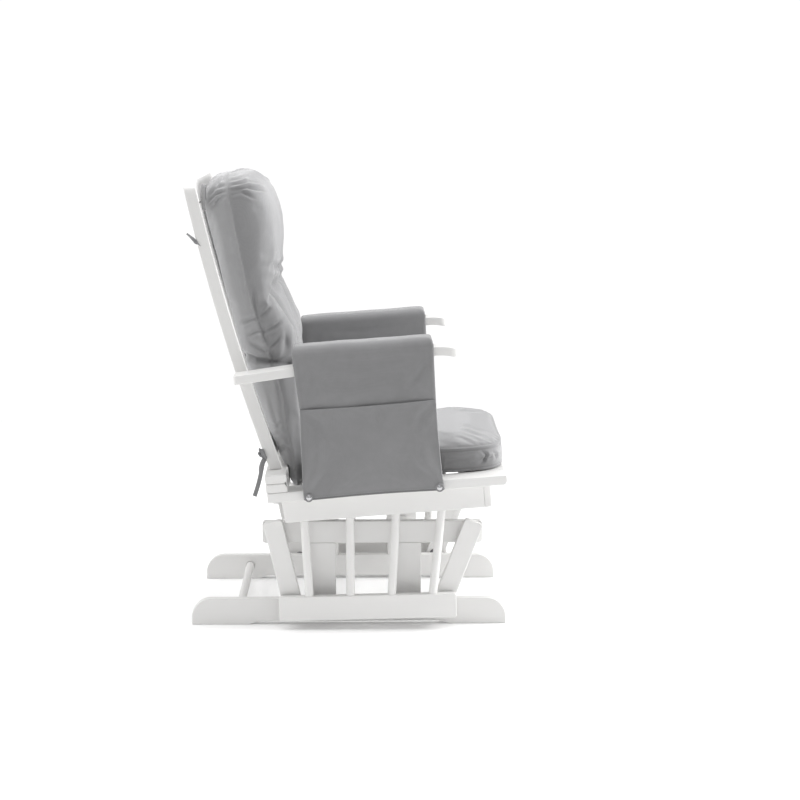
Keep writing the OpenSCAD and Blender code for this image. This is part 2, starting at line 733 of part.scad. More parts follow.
base_rail(LEFT);  // base_rail_left
base_rail(RIGHT);  // base_rail_right
upright(LEFT, upright_rear_f);  // upright_left_rear
upright(LEFT, upright_front_f);  // upright_left_front
upright(RIGHT, upright_rear_f);  // upright_right_rear
upright(RIGHT, upright_front_f);  // upright_right_front
top_beam(LEFT);  // top_beam_left
top_beam(RIGHT);  // top_beam_right
stretcher(upright_rear_f);  // rear_stretcher
stretcher(upright_front_f);  // front_stretcher
rear_rod();
top_pivot_bolts();
top_pivot_spacers();
link(LEFT, rear_top, rest_angle, bolt_r + through);  // rear_link_left
link(RIGHT, rear_top, rest_angle, bolt_r + through);  // rear_link_right
rear_link_bearings();
link(LEFT, front_top, -front_angle, bolt_r + closing_gap);  // front_link_left
link(RIGHT, front_top, -front_angle, bolt_r + closing_gap);  // front_link_right
front_link_bearings();
low_pivot_bolts();
low_pivot_spacers();
glide_rail(LEFT);  // glide_rail_left
glide_rail(RIGHT);  // glide_rail_right
spindles(LEFT);  // spindles_left
spindles(RIGHT);  // spindles_right
apron(LEFT);  // apron_left
apron(RIGHT);  // apron_right
front_apron();
rear_cross_rail();
slat_cleats();
seat_slats();
seat_board(LEFT);  // seat_board_left
seat_board(RIGHT);  // seat_board_right
seat_board_front();
riser(0);  // riser_lower
riser(1);  // riser_upper
stile(LEFT);  // stile_left
stile(RIGHT);  // stile_right
crest_rail();
lower_back_rail();
back_slats();
arm(LEFT);  // arm_left
arm(RIGHT);  // arm_right
arm_bolts();
arm_post(LEFT);  // arm_post_left
arm_post(RIGHT);  // arm_post_right
arm_spindles();
seat_cushion();
back_cushion();
arm_cover(LEFT);  // arm_cover_left
arm_cover(RIGHT);  // arm_cover_right
pocket(LEFT);  // pocket_left
pocket(RIGHT);  // pocket_right
cover_snaps();
cushion_ties();
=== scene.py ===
"""Glider nursery chair in painted wood, with its cushions, arm covers and studio."""

import math

import bmesh
import bpy
import numpy as np
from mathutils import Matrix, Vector


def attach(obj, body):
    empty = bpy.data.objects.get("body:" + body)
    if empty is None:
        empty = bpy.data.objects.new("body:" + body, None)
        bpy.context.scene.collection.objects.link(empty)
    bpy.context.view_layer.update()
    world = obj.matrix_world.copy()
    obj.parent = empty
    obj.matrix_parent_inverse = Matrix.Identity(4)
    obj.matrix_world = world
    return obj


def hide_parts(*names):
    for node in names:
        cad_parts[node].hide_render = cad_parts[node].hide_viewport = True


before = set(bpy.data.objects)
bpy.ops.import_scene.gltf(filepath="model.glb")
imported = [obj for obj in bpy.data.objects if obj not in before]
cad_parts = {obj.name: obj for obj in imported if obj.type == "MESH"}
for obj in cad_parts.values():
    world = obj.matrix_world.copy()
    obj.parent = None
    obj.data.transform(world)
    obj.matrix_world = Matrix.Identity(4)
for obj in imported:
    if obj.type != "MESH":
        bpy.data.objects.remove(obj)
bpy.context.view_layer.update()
scene = bpy.context.scene

# ---- Camera ------------------------------------------------------------------------------
# A long lens on a stand a little above the arms, square to the chair's right side and
# tipped slightly down.
CAMERA_YAW, CAMERA_PITCH = 0.0178, 0.1557
camera_data = bpy.data.cameras.new("camera")
camera_data.lens = 88.94
camera_data.sensor_width = 36
camera = bpy.data.objects.new("camera", camera_data)
camera.location = (-4.740, -0.0394, 1.2400)
looking = Vector((
    math.cos(CAMERA_YAW) * math.cos(CAMERA_PITCH),
    -math.sin(CAMERA_YAW) * math.cos(CAMERA_PITCH),
    -math.sin(CAMERA_PITCH),
))
camera.rotation_euler = looking.to_track_quat("-Z", "Y").to_euler()
scene.collection.objects.link(camera)
scene.camera = camera

# ---- Studio ------------------------------------------------------------------------------
# A seamless white floor and white surroundings, with large soft boxes before and behind
# the chair, a wide soft light over it and a faint one at its side.
FLOOR_HALF = 2.7
WHITE = (1, 1, 1, 1)
SKY_FILL, SKY_SEEN = 0.47, 1.05


def new_material(name, settings):
    """A material, its node tree and its shader, whose own sockets are set."""
    material = bpy.data.materials.new(name)
    material.use_nodes = True
    shader = material.node_tree.nodes["Principled BSDF"]
    for socket, value in settings.items():
        shader.inputs[socket].default_value = value
    return material, material.node_tree, shader


def bare_piece(skin, name, material):
    """An object of one material from a finished mesh."""
    data = bpy.data.meshes.new(name)
    skin.to_mesh(data)
    skin.free()
    data.materials.append(material)
    piece = bpy.data.objects.new(name, data)
    scene.collection.objects.link(piece)
    return piece


STUDIO_WHITE = new_material("studio_white", {
    "Base Color": (0.94, 0.94, 0.94, 1), "Roughness": 0.6, "Emission Color": WHITE,
    "Emission Strength": 0.06,
})[0]
sheet = bmesh.new()
bmesh.ops.create_grid(sheet, x_segments=2, y_segments=2, size=FLOOR_HALF)
floor = bare_piece(sheet, "studio_floor", STUDIO_WHITE)

studio = bpy.data.worlds.new("studio")
scene.world = studio
studio.use_nodes = True
sky = studio.node_tree
sky.nodes.clear()
sky_out = sky.nodes.new("ShaderNodeOutputWorld")
sky_mix = sky.nodes.new("ShaderNodeMixShader")
sky_path = sky.nodes.new("ShaderNodeLightPath")
sky.links.new(sky_path.outputs["Is Camera Ray"], sky_mix.inputs["Fac"])
for socket, strength in ((1, SKY_FILL), (2, SKY_SEEN)):
    around = sky.nodes.new("ShaderNodeBackground")
    around.inputs["Color"].default_value = WHITE
    around.inputs["Strength"].default_value = strength
    sky.links.new(around.outputs["Background"], sky_mix.inputs[socket])
sky.links.new(sky_mix.outputs["Shader"], sky_out.inputs["Surface"])
scene.view_settings.view_transform = "Standard"


def soft_box(name, place, aim, size, watts):
    light = bpy.data.lights.new(name, "AREA")
    light.shape = "SQUARE"
    light.size = size
    light.energy = watts
    lamp = bpy.data.objects.new(name, light)
    lamp.location = place
    lamp.rotation_euler = (Vector(aim) - Vector(place)).to_track_quat("-Z", "Y").to_euler()
    scene.collection.objects.link(lamp)


soft_box("front_box", (0.1, -3.0, 1.7), (0, 0, 0.7), 1.8, 112)
soft_box("rear_box", (-0.4, 3.0, 2.0), (0, 0, 0.6), 1.8, 40)
soft_box("top_box", (0.6, 0, 3.8), (0.6, 0, 0), 4.0, 125)
soft_box("side_box", (-4.2, 0.2, 1.6), (0, 0, 0.5), 2.2, 7)

# ---- Painted wood ------------------------------------------------------------------------
# Every board is hardwood, planed square, its edges eased and sprayed with satin white
# enamel. The grain shows faintly through the paint, which is thinner along the edges.
WOOD_WHITE = (0.765, 0.76, 0.75)
GRAIN_STRETCH = (26, 1.6, 26)


def new_group(name, inputs):
    """A node group that turns a place into a shade, a roughness and a height."""
    group = bpy.data.node_groups.new(name, "ShaderNodeTree")
    group.interface.new_socket("Vector", in_out="INPUT", socket_type="NodeSocketVector")
    for socket, value in inputs.items():
        made = group.interface.new_socket(socket, in_out="INPUT", socket_type="NodeSocketFloat")
        made.default_value = value
    for socket in ("Shade", "Roughness", "Height"):
        group.interface.new_socket(socket, in_out="OUTPUT", socket_type="NodeSocketFloat")
    return group, group.nodes.new("NodeGroupInput"), group.nodes.new("NodeGroupOutput")


def put_out(group, outlet, **values):
    for socket, value in values.items():
        group.links.new(value, outlet.inputs[socket])


def join(tree, value, socket):
    """Sets a socket to a plain number, or links it to a value that changes."""
    if isinstance(value, (int, float)):
        socket.default_value = value
    else:
        tree.links.new(value, socket)


def noise(tree, vector, scale, detail, roughness=0.5):
    node = tree.nodes.new("ShaderNodeTexNoise")
    settings = {"Vector": vector, "Scale": scale, "Detail": detail, "Roughness": roughness}
    for socket, value in settings.items():
        join(tree, value, node.inputs[socket])
    return node.outputs["Fac"]


def sum_of(tree, first, second, operation="ADD"):
    node = tree.nodes.new("ShaderNodeMath")
    node.operation = operation
    for socket, value in zip(node.inputs, (first, second)):
        join(tree, value, socket)
    return node.outputs["Value"]


def product(tree, total, *others):
    for other in others:
        total = sum_of(tree, total, other, "MULTIPLY")
    return total


def ranged(tree, value, low, high, from_low=0.0, from_high=1.0):
    node = tree.nodes.new("ShaderNodeMapRange")
    limits = {"From Min": from_low, "From Max": from_high, "To Min": low, "To Max": high}
    for socket, limit in limits.items():
        node.inputs[socket].default_value = limit
    tree.links.new(value, node.inputs["Value"])
    return node.outputs["Result"]


def shade_of(tree, colour, factor):
    """A colour made lighter or darker by a factor that changes over the surface."""
    scaled = tree.nodes.new("ShaderNodeVectorMath")
    scaled.operation = "SCALE"
    scaled.inputs[0].default_value = colour
    tree.links.new(factor, scaled.inputs["Scale"])
    return scaled.outputs["Vector"]


def own_place(tree):
    return tree.nodes.new("ShaderNodeTexCoord").outputs["Object"]


def mask_of(tree, name):
    """A mask kept on the mesh, such as its eased edges or its seams."""
    node = tree.nodes.new("ShaderNodeAttribute")
    node.attribute_name = name
    return node.outputs["Fac"]


def placed(tree, group, inputs):
    node = tree.nodes.new("ShaderNodeGroup")
    node.node_tree = group
    for socket, value in inputs.items():
        join(tree, value, node.inputs[socket])
    return node.outputs


def turned_place(tree, place, setting, value):
    node = tree.nodes.new("ShaderNodeMapping")
    node.inputs[setting].default_value = value
    tree.links.new(place, node.inputs["Vector"])
    return node.outputs["Vector"]


def surface(tree, shader, colour, roughness, height, strength, distance):
    """Gives the shader its colour and roughness, and its normal from a height."""
    tree.links.new(colour, shader.inputs["Base Color"])
    tree.links.new(roughness, shader.inputs["Roughness"])
    bump = tree.nodes.new("ShaderNodeBump")
    bump.inputs["Strength"].default_value = strength
    bump.inputs["Distance"].default_value = distance
    tree.links.new(height, bump.inputs["Height"])
    tree.links.new(bump.outputs["Normal"], shader.inputs["Normal"])


enamel, enamel_in, enamel_out = new_group("sprayed_enamel", {"Edge": 0.0})
board = enamel_in.outputs["Vector"]
fibres = turned_place(enamel, board, "Scale", GRAIN_STRETCH)
grain = noise(enamel, fibres, 6.0, 5, 0.6)
pores = noise(enamel, fibres, 22.0, 3, 0.7)
spray = noise(enamel, board, 620.0, 2, 0.5)
drift = noise(enamel, board, 5.0, 2, 0.5)
handling = noise(enamel, board, 34.0, 4, 0.65)
edge_coat = product(enamel, enamel_in.outputs["Edge"], ranged(enamel, handling, 0.0, 1.0, 0.35, 0.7))
relief = sum_of(enamel, ranged(enamel, grain, 0.0, 0.5), ranged(enamel, spray, 0.0, 0.35))
put_out(
    enamel, enamel_out,
    Shade=product(
        enamel, ranged(enamel, grain, 0.986, 1.008), ranged(enamel, drift, 0.985, 1.012),
        ranged(enamel, edge_coat, 1.0, 0.94),
    ),
    Roughness=sum_of(enamel, ranged(enamel, handling, 0.34, 0.46), ranged(enamel, edge_coat, 0.0, 0.12)),
    Height=sum_of(enamel, relief, ranged(enamel, pores, 0.0, 0.25)),
)


def painted(name, turn):
    """Satin white enamel whose grain runs front to back, turned for other boards."""
    material, tree, shader = new_material(name, {"Coat Weight": 0.12, "Coat Roughness": 0.25})
    coat = placed(tree, enamel, {
        "Vector": turned_place(tree, own_place(tree), "Rotation", turn), "Edge": mask_of(tree, "eased"),
    })
    colour = shade_of(tree, WOOD_WHITE, coat["Shade"])
    surface(tree, shader, colour, coat["Roughness"], coat["Height"], 0.35, 0.0004)
    return material


ALONG = painted("enamel_along", (0, 0, 0))
UPRIGHT = painted("enamel_upright", (math.radians(90), 0, 0))
ACROSS = painted("enamel_across", (0, 0, math.radians(90)))
SHARP, SOFT_TURN, FLAT = math.radians(35), math.radians(50), math.radians(0.03)


def merged(node):
    """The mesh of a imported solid, its triangles joined into whole flat faces."""
    board = bmesh.new()
    board.from_mesh(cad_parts[node].data)
    bmesh.ops.remove_doubles(board, verts=board.verts, dist=1e-5)
    bmesh.ops.dissolve_limit(board, angle_limit=FLAT, verts=board.verts, edges=board.edges)
    return board


def keep_piece(board, name, material, body, nodes):
    """Makes a finished mesh into a piece that rides on its body and stands for its nodes."""
    piece = bare_piece(board, name, material)
    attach(piece, body)
    if nodes:
        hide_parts(*nodes)
    return piece


def finish_board(node, material, ease, body="seat", joint=None):
    """A board with its edges eased but for those of a glued joint, its flat faces kept flat."""
    board = merged(node)
    eased = board.loops.layers.float.new("eased")
    if ease:
        sharp = [e for e in board.edges if len(e.link_faces) == 2 and e.calc_face_angle(0) > SHARP]
        if joint:
            heights = {v: own_frame(np.array([v.co]))[0, 2] for e in sharp for v in e.verts}
            sharp = [e for e in sharp if any(abs(heights[v] - joint) > 0.5 for v in e.verts)]
        bevelled = bmesh.ops.bevel(
            board, geom=sharp, offset=ease, offset_type="OFFSET", affect="EDGES", segments=2,
            profile=0.5, material=-1, clamp_overlap=False, loop_slide=True,
        )
        rounded = set(bevelled["faces"])
        for face in rounded:
            for loop in face.loops:
                loop[eased] = 1.0 if all(f in rounded for f in loop.vert.link_faces) else 0.0
    for face in board.faces:
        face.smooth = True
    for edge in board.edges:
        edge.smooth = len(edge.link_faces) != 2 or edge.calc_face_angle(0) < SOFT_TURN
    piece = keep_piece(board, node + "_painted", material, body, [node])
    level = piece.modifiers.new("flat_faces", "WEIGHTED_NORMAL")
    level.keep_sharp = True
    level.weight = 100
    return piece


# ---- Base --------------------------------------------------------------------------------
# Two rails on the floor carry two uprights each, and a top beam lies along each pair.
# The rails are joined by a round rod behind and the uprights by two cross boards.
apron_corners = [v.co.copy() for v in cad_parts["apron_left"].data.vertices]
SEAT_HEEL = min(apron_corners, key=lambda corner: corner.z)
SEAT_NOSE = min(apron_corners, key=lambda corner: corner.y)
SEAT_TILT = math.atan2(SEAT_NOSE.z - SEAT_HEEL.z, SEAT_HEEL.y - SEAT_NOSE.y)


def own_frame(points):
    """Points as (across, forward, up) in millimetres from the apron's lower rear corner."""
    forward, up = SEAT_HEEL.y - points[:, 1], points[:, 2] - SEAT_HEEL.z
    level, slope = math.cos(SEAT_TILT), math.sin(SEAT_TILT)
    return 1000 * np.column_stack((
        points[:, 0], forward * level + up * slope, up * level - forward * slope,
    ))


def chair_frame(own):
    """The same points back in the chair's frame, in metres."""
    own = np.asarray(own, float).reshape(-1, 3) / 1000
    level, slope = math.cos(SEAT_TILT), math.sin(SEAT_TILT)
    return np.column_stack((
        own[:, 0],
        SEAT_HEEL.y - own[:, 1] * level + own[:, 2] * slope,
        SEAT_HEEL.z + own[:, 1] * slope + own[:, 2] * level,
    ))


def corners_of(*nodes):
    """Every point of some nodes in the seat's own frame."""
    return own_frame(np.array([v.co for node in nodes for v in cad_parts[node].data.vertices]))


EASE, THIN_EASE, SEAT_EASE, ARM_EASE = 0.0022, 0.0020, 0.0018, 0.0028
for side in ("left", "right"):
    finish_board("base_rail_" + side, ALONG, EASE, "base")
    finish_board("top_beam_" + side, ALONG, EASE, "base")
    for place in ("rear", "front"):
        finish_board(f"upright_{side}_{place}", UPRIGHT, EASE, "base")
finish_board("rear_stretcher", ACROSS, THIN_EASE, "base")
finish_board("front_stretcher", ACROSS, THIN_EASE, "base")
finish_board("rear_rod", ACROSS, 0.0010, "base")

# ---- Swing links -------------------------------------------------------------------------
# Four square-cut links with rounded corners hang from the beams. Each end is bored for a
# ball bearing, which is pressed in flush.
for side in ("left", "right"):
    finish_board("rear_link_" + side, UPRIGHT, EASE, "rear_links")
    finish_board("front_link_" + side, UPRIGHT, EASE, "front_links")

# ---- Gliding side frames -----------------------------------------------------------------
# Each side frame is a rail between the lower pivots, four turned spindles that fan out
# upward, and an apron board on top, glued up before the seat is fixed to it.
for side in ("left", "right"):
    finish_board("glide_rail_" + side, ALONG, EASE)
    finish_board("spindles_" + side, UPRIGHT, 0)
    finish_board("apron_" + side, ALONG, SEAT_EASE)

# ---- Seat frame --------------------------------------------------------------------------
# A front apron and a rear cross rail tie the side frames together. Slats lie on cleats
# between them, and wide boards with a rounded nose cap the sides and the front.
finish_board("front_apron", ACROSS, SEAT_EASE)
finish_board("rear_cross_rail", ACROSS, SEAT_EASE)
finish_board("slat_cleats", ALONG, 0.0015)
finish_board("seat_slats", ACROSS, SEAT_EASE)
for side in ("left", "right"):
    finish_board("seat_board_" + side, ALONG, SEAT_EASE)
finish_board("seat_board_front", ACROSS, 0)
finish_board("riser_lower", ACROSS, ARM_EASE)
finish_board("riser_upper", ACROSS, ARM_EASE)

# ---- Back --------------------------------------------------------------------------------
# Two bent stiles and a hooped crest rail of the same section, with a lower rail and five
# thin slats between them. The cushion hides all of it but the edge.
CREST_JOINT = corners_of("crest_rail")[:, 2].min()
for side in ("left", "right"):
    finish_board("stile_" + side, UPRIGHT, 0.0025, joint=CREST_JOINT)
finish_board("crest_rail", ACROSS, 0.0025, joint=CREST_JOINT)
finish_board("lower_back_rail", ACROSS, THIN_EASE)
finish_board("back_slats", UPRIGHT, 0.0015)

# ---- Arms --------------------------------------------------------------------------------
# Each arm is a wide board bent down at its tip, bolted to the stile behind and carried by
# a post and two spindles that stand on the seat board under the cover.
for side in ("left", "right"):
    finish_board("arm_" + side, ALONG, ARM_EASE)
    finish_board("arm_post_" + side, UPRIGHT, THIN_EASE)
finish_board("arm_spindles", UPRIGHT, 0)

# ---- Pivot hardware ----------------------------------------------------------------------
# Dark zinc-plated bolts with a low domed head and a round socket run through the bearings
# into the wood. A nylon sleeve beside each link keeps it off the boards.
def loose_boxes(node):
    """Lowest and highest corners of every separate solid in a node."""
    solid = merged(node)
    left, found = set(solid.verts), []
    while left:
        heap, part = [next(iter(left))], set()
        while heap:
            vert = heap.pop()
            if vert in part:
                continue
            part.add(vert)
            heap.extend(e.other_vert(vert) for e in vert.link_edges)
        left -= part
        low = Vector([min(v.co[i] for v in part) for i in range(3)])
        high = Vector([max(v.co[i] for v in part) for i in range(3)])
        found.append((low, high))
    solid.free()
    return sorted(found, key=lambda box: tuple(box[0]))


def turn_profile(metal, outline, place, way, steps=40):
    """Turns an outline of (along, radius) points about the axis across the chair."""
    verts = [
        metal.verts.new((place.x + way * along, place.y, place.z + radius)) for along, radius in outline
    ]
    edges = [metal.edges.new(pair) for pair in zip(verts, verts[1:])]
    bmesh.ops.spin(
        metal, geom=verts + edges, cent=place, axis=(1, 0, 0), angle=2 * math.pi, steps=steps,
        use_merge=True,
    )


def close_turned(metal):
    bmesh.ops.remove_doubles(metal, verts=metal.verts, dist=1e-6)
    bmesh.ops.recalc_face_normals(metal, faces=metal.faces)
    for face in metal.faces:
        face.smooth = True
    for edge in metal.edges:
        edge.smooth = len(edge.link_faces) != 2 or edge.calc_face_angle(0) < TURNED_EDGE


def turned_set(node, name, material, body, outline, nodes, steps=40):
    """Turned pieces where a node's solids are, each begun at its end towards the middle."""
    metal = bmesh.new()
    for low, high in loose_boxes(node):
        way = 1 if low.x > 0 else -1
        end = (low + high) / 2
        end.x = low.x if way > 0 else high.x
        turn_profile(metal, outline(high.x - low.x), end, way, steps)
    close_turned(metal)
    return keep_piece(metal, name, material, body, nodes)


def plated(name, colour, metallic, roughness, scratch):
    """Metal or moulded nylon with fine turning marks and a little handling dullness."""
    material, tree, shader = new_material(name, {"Metallic": metallic})
    place = own_place(tree)
    fine = noise(tree, place, 900.0, 3, 0.6)
    broad = noise(tree, place, 60.0, 4, 0.6)
    marks = product(tree, ranged(tree, fine, 0.97, 1.03), ranged(tree, broad, 0.90, 1.08))
    dullness = ranged(tree, broad, roughness - 0.06, roughness + 0.10)
    surface(tree, shader, shade_of(tree, colour, marks), dullness, fine, scratch, 0.0002)
    return material


TURNED_EDGE = math.radians(40)
BOLT_METAL = plated("dark_zinc", (0.16, 0.16, 0.17), 1.0, 0.34, 0.25)
BEARING_STEEL = plated("ground_steel", (0.62, 0.62, 0.63), 1.0, 0.24, 0.15)
NYLON = plated("natural_nylon", (0.72, 0.71, 0.67), 0.0, 0.48, 0.20)
CHROME = plated("bright_nickel", (0.52, 0.52, 0.53), 1.0, 0.20, 0.06)


def bolt_set(node, name, body, head_r, head_t, shank_r):
    """Domed bolts with a socket, their heads on the side towards the chair's middle."""
    def outline(reach):
        return [
            (0.0026, 0), (0.0026, 0.30 * head_r), (0.0005, 0.34 * head_r), (0.0001, 0.42 * head_r),
            (0.0004, 0.62 * head_r), (0.0012, 0.82 * head_r), (0.0022, 0.95 * head_r),
            (0.0030, head_r), (head_t - 0.0002, head_r), (head_t, head_r - 0.0004),
            (head_t, shank_r), (reach - 0.0008, shank_r), (reach, shank_r - 0.0008), (reach, 0),
        ]
    turned_set(node, name, BOLT_METAL, body, outline, [node])


bolt_set("top_pivot_bolts", "top_bolts_domed", "base", 0.014, 0.004, 0.004)
bolt_set("low_pivot_bolts", "low_bolts_domed", "seat", 0.014, 0.004, 0.004)
bolt_set("arm_bolts", "arm_bolts_domed", "seat", 0.008, 0.003, 0.003)
MARGIN = 1e-4


def ring_set(node, name, body, material, edge, groove):
    """Turned rings in place of a node's plain ones, with chamfered rims and a sealed groove."""
    metal, solid = bmesh.new(), merged(node)
    for low, high in loose_boxes(node):
        middle = (low + high) / 2
        outer = (high.y - low.y) / 2
        inner = min(
            math.hypot(v.co.y - middle.y, v.co.z - middle.z) for v in solid.verts
            if all(low[i] - MARGIN < v.co[i] < high[i] + MARGIN for i in range(3))
        )
        wide = high.x - low.x
        race = (outer - inner) * 0.3
        outline = [(edge, outer), (0, outer - edge)]
        if groove:
            outline += [
                (0, outer - race), (groove, outer - race - edge), (groove, inner + race + edge),
                (0, inner + race),
            ]
        outline += [(0, inner + edge), (edge, inner)]
        outline += [(wide - along, radius) for along, radius in reversed(outline)]
        turn_profile(metal, outline + outline[:1], Vector((low.x, middle.y, middle.z)), 1)
    solid.free()
    close_turned(metal)
    return keep_piece(metal, name, material, body, [node])


for end in ("rear", "front"):
    ring_set(
        end + "_link_bearings", end + "_bearings_turned", end + "_links",
        BEARING_STEEL, 0.0004, 0.0008,
    )
for end, body in (("top", "base"), ("low", "seat")):
    ring_set(end + "_pivot_spacers", end + "_sleeves_moulded", body, NYLON, 0.0005, 0)

# ---- Cushion cloth -----------------------------------------------------------------------
# Cushions, covers and ties are cut from a brushed polyester cloth in mid grey: a fine
# plain weave, raised a little so that it catches light where it turns away.
weave, weave_in, weave_out = new_group("brushed_weave", {"Threads": 1100.0, "Seam": 0.0})
cut = weave_in.outputs["Vector"]
split = weave.nodes.new("ShaderNodeSeparateXYZ")
weave.links.new(cut, split.inputs["Vector"])
slub = noise(weave, cut, 210.0, 3, 0.6)
turns = product(weave, weave_in.outputs["Threads"], 2 * math.pi)
threads = 0.0
for axis in "XYZ":
    phase = sum_of(weave, product(weave, split.outputs[axis], turns), product(weave, slub, 2.5))
    threads = sum_of(weave, sum_of(weave, phase, 0.0, "SINE"), threads)
nap = noise(weave, cut, 520.0, 4, 0.7)
mottle = noise(weave, cut, 48.0, 4, 0.6)
drift = noise(weave, cut, 7.0, 3, 0.5)
put_out(
    weave, weave_out,
    Shade=product(
        weave, ranged(weave, threads, 0.975, 1.025, -2.0, 2.0), ranged(weave, nap, 0.95, 1.05),
        ranged(weave, mottle, 0.965, 1.035, 0.3, 0.7), ranged(weave, drift, 0.955, 1.045, 0.3, 0.7),
        # stitching and painted shade, from the piece's seam mask, darken the cloth
        ranged(weave, weave_in.outputs["Seam"], 1.0, 0.62),
    ),
    Roughness=ranged(weave, mottle, 0.72, 0.90, 0.3, 0.7),
    Height=sum_of(weave, ranged(weave, threads, 0.0, 1.0, -3.0, 3.0), ranged(weave, nap, 0.0, 0.7)),
)


def cloth(name, colour, threads_per_metre, sheen):
    """Brushed grey cloth; a piece's own seam attribute darkens it along stitching and holds painted
    shade, and its panel attribute is painted light that lightens it.
    """
    material, tree, shader = new_material(name, {
        "Sheen Weight": sheen, "Sheen Roughness": 0.38, "Sheen Tint": (0.95, 0.95, 0.96, 1),
        "Specular IOR Level": 0.35,
    })
    woven = placed(tree, weave, {
        "Vector": own_place(tree), "Threads": threads_per_metre, "Seam": mask_of(tree, "seam"),
    })
    # painted light: the panel mask lightens the cloth up to 1.38 times
    tone = product(tree, woven["Shade"], ranged(tree, mask_of(tree, "panel"), 1.0, 1.38))
    surface(
        tree, shader, shade_of(tree, colour, tone), woven["Roughness"], woven["Height"], 0.45, 0.0004
    )
    return material


CUSHION_CLOTH = cloth("cushion_cloth", (0.262, 0.262, 0.266), 1150.0, 0.75)
COVER_CLOTH = cloth("cover_cloth", (0.240, 0.240, 0.244), 1000.0, 0.35)
TIE_CLOTH = cloth("tie_cloth", (0.215, 0.215, 0.22), 1000.0, 0.30)

# ---- Seat cushion ------------------------------------------------------------------------
# A foam block in a sewn case: crowned top and bottom panels joined to an upright band by
# a seam all round. It lies loose on the slats, its nose on the front board.
CASE_SQUARED = 0.30
FILLING = {
    "quality": 6, "mass": 0.3, "tension_stiffness": 18, "compression_stiffness": 12,
    "shear_stiffness": 8, "bending_stiffness": 0.8, "use_pressure": True,
    "uniform_pressure_force": 4, "vertex_group_mass": "held",
}
FILLING_FRAMES = 20


def unit(value):
    return np.clip(value, 0, 1)


def bell(distance, width):
    """1 in the middle, falling softly to nothing over a few widths."""
    return np.exp(-(distance / width) ** 2)


def squared(value, power):
    """Pushes a sine or cosine outward, so that a circle of them becomes a squared outline."""
    return math.copysign(abs(value) ** power, value)


def drawn_out(skin, edges):
    """Extrudes a row of edges and gives the new points and the new row."""
    grown = bmesh.ops.extrude_edge_only(skin, edges=edges)["geom"]
    fresh = [item for item in grown if isinstance(item, bmesh.types.BMVert)]
    ends = set(fresh)
    row = [i for i in grown if isinstance(i, bmesh.types.BMEdge) and all(v in ends for v in i.verts)]
    return fresh, row


def stacked_rings(levels, count):
    """A closed skin through one ring for each level, a level giving a point for each turn."""
    skin = bmesh.new()
    turn = skin.verts.layers.float.new("turn")
    ring = bmesh.ops.create_circle(skin, segments=count, radius=1.0)["verts"]
    for vert in ring:
        vert[turn] = math.atan2(vert.co.y, vert.co.x)
    edges = list(skin.edges)
    for number, level in enumerate(levels):
        if number:
            ring, edges = drawn_out(skin, edges)
        for vert in ring:
            vert.co = chair_frame(level(vert[turn]))[0]
    bmesh.ops.holes_fill(skin, edges=[e for e in skin.edges if e.is_boundary], sides=0)
    bmesh.ops.recalc_face_normals(skin, faces=skin.faces)
    return skin


def points_of(mesh):
    """A mesh's points and their normals."""
    arrays = []
    for kind in ("co", "normal"):
        arrays.append(np.empty(len(mesh.vertices) * 3))
        mesh.vertices.foreach_get(kind, arrays[-1])
    return [array.reshape(-1, 3) for array in arrays]


def settle(piece):
    """Makes a piece's modifiers part of its mesh."""
    seen = piece.evaluated_get(bpy.context.evaluated_depsgraph_get())
    mesh = bpy.data.meshes.new_from_object(seen)
    piece.modifiers.clear()
    old, piece.data = piece.data, mesh
    bpy.data.meshes.remove(old)


def smoothed(piece):
    for polygon in piece.data.polygons:
        polygon.use_smooth = True


def subdivided(piece):
    fine = piece.modifiers.new("fine", "SUBSURF")
    fine.levels = fine.render_levels = 1


def stuff(piece, voxel, cap, held, slack=0.0):
    """Fills a sewn case: its skin is remeshed and swells as cloth under pressure, except where
    it is held, and no point moves further than the cap. It is then subdivided once."""
    remesh = piece.modifiers.new("even_mesh", "REMESH")
    remesh.mode = "VOXEL"
    remesh.voxel_size = voxel
    settle(piece)
    start, normals = points_of(piece.data)
    grip = held(own_frame(start))
    pin = piece.vertex_groups.new(name="held")
    for index in np.flatnonzero(grip > 0.02):
        pin.add([int(index)], float(grip[index]), "REPLACE")
    filling = piece.modifiers.new("filling", "CLOTH")
    for setting, value in FILLING.items():
        setattr(filling.settings, setting, value)
    filling.settings.shrink_min = -slack
    filling.settings.effector_weights.gravity = 0
    filling.point_cache.frame_start = 1
    filling.point_cache.frame_end = FILLING_FRAMES
    for frame_number in range(1, FILLING_FRAMES + 1):
        scene.frame_set(frame_number)
    seen = piece.evaluated_get(bpy.context.evaluated_depsgraph_get())
    moved = points_of(seen.data)[0]
    piece.modifiers.clear()
    piece.vertex_groups.clear()
    scene.frame_set(1)
    step = moved - start
    far = np.linalg.norm(step, axis=1)
    moved = start + step * np.minimum(1, cap / np.maximum(far, 1e-9))[:, None]
    piece.data.vertices.foreach_set("co", moved.ravel())
    subdivided(piece)
    settle(piece)
    smoothed(piece)


def set_points(piece, own):
    piece.data.vertices.foreach_set("co", chair_frame(own).ravel())
    piece.data.update()


def set_mask(piece, name, values):
    """A value for every point of the piece, for its cloth to read."""
    layer = piece.data.attributes.get(name) or piece.data.attributes.new(name, "FLOAT", "POINT")
    layer.data.foreach_set("value", unit(values).astype(np.float32))


def along_line(u, v, line):
    """Distance of each point (u, v) from a line of points, and how far along it each is, 0 to 1."""
    best = np.full(len(u), 1e9)
    place = np.zeros(len(u))
    lengths = [math.dist(p, q) for p, q in zip(line, line[1:])]
    done = 0.0
    for (p, q), length in zip(zip(line, line[1:]), lengths):
        du, dv = (q[0] - p[0]) / length, (q[1] - p[1]) / length
        t = np.clip((u - p[0]) * du + (v - p[1]) * dv, 0, length)
        far = np.hypot(u - p[0] - t * du, v - p[1] - t * dv)
        nearer = far < best
        best[nearer] = far[nearer]
        place[nearer] = (done + t[nearer]) / sum(lengths)
        done += length
    return best, place


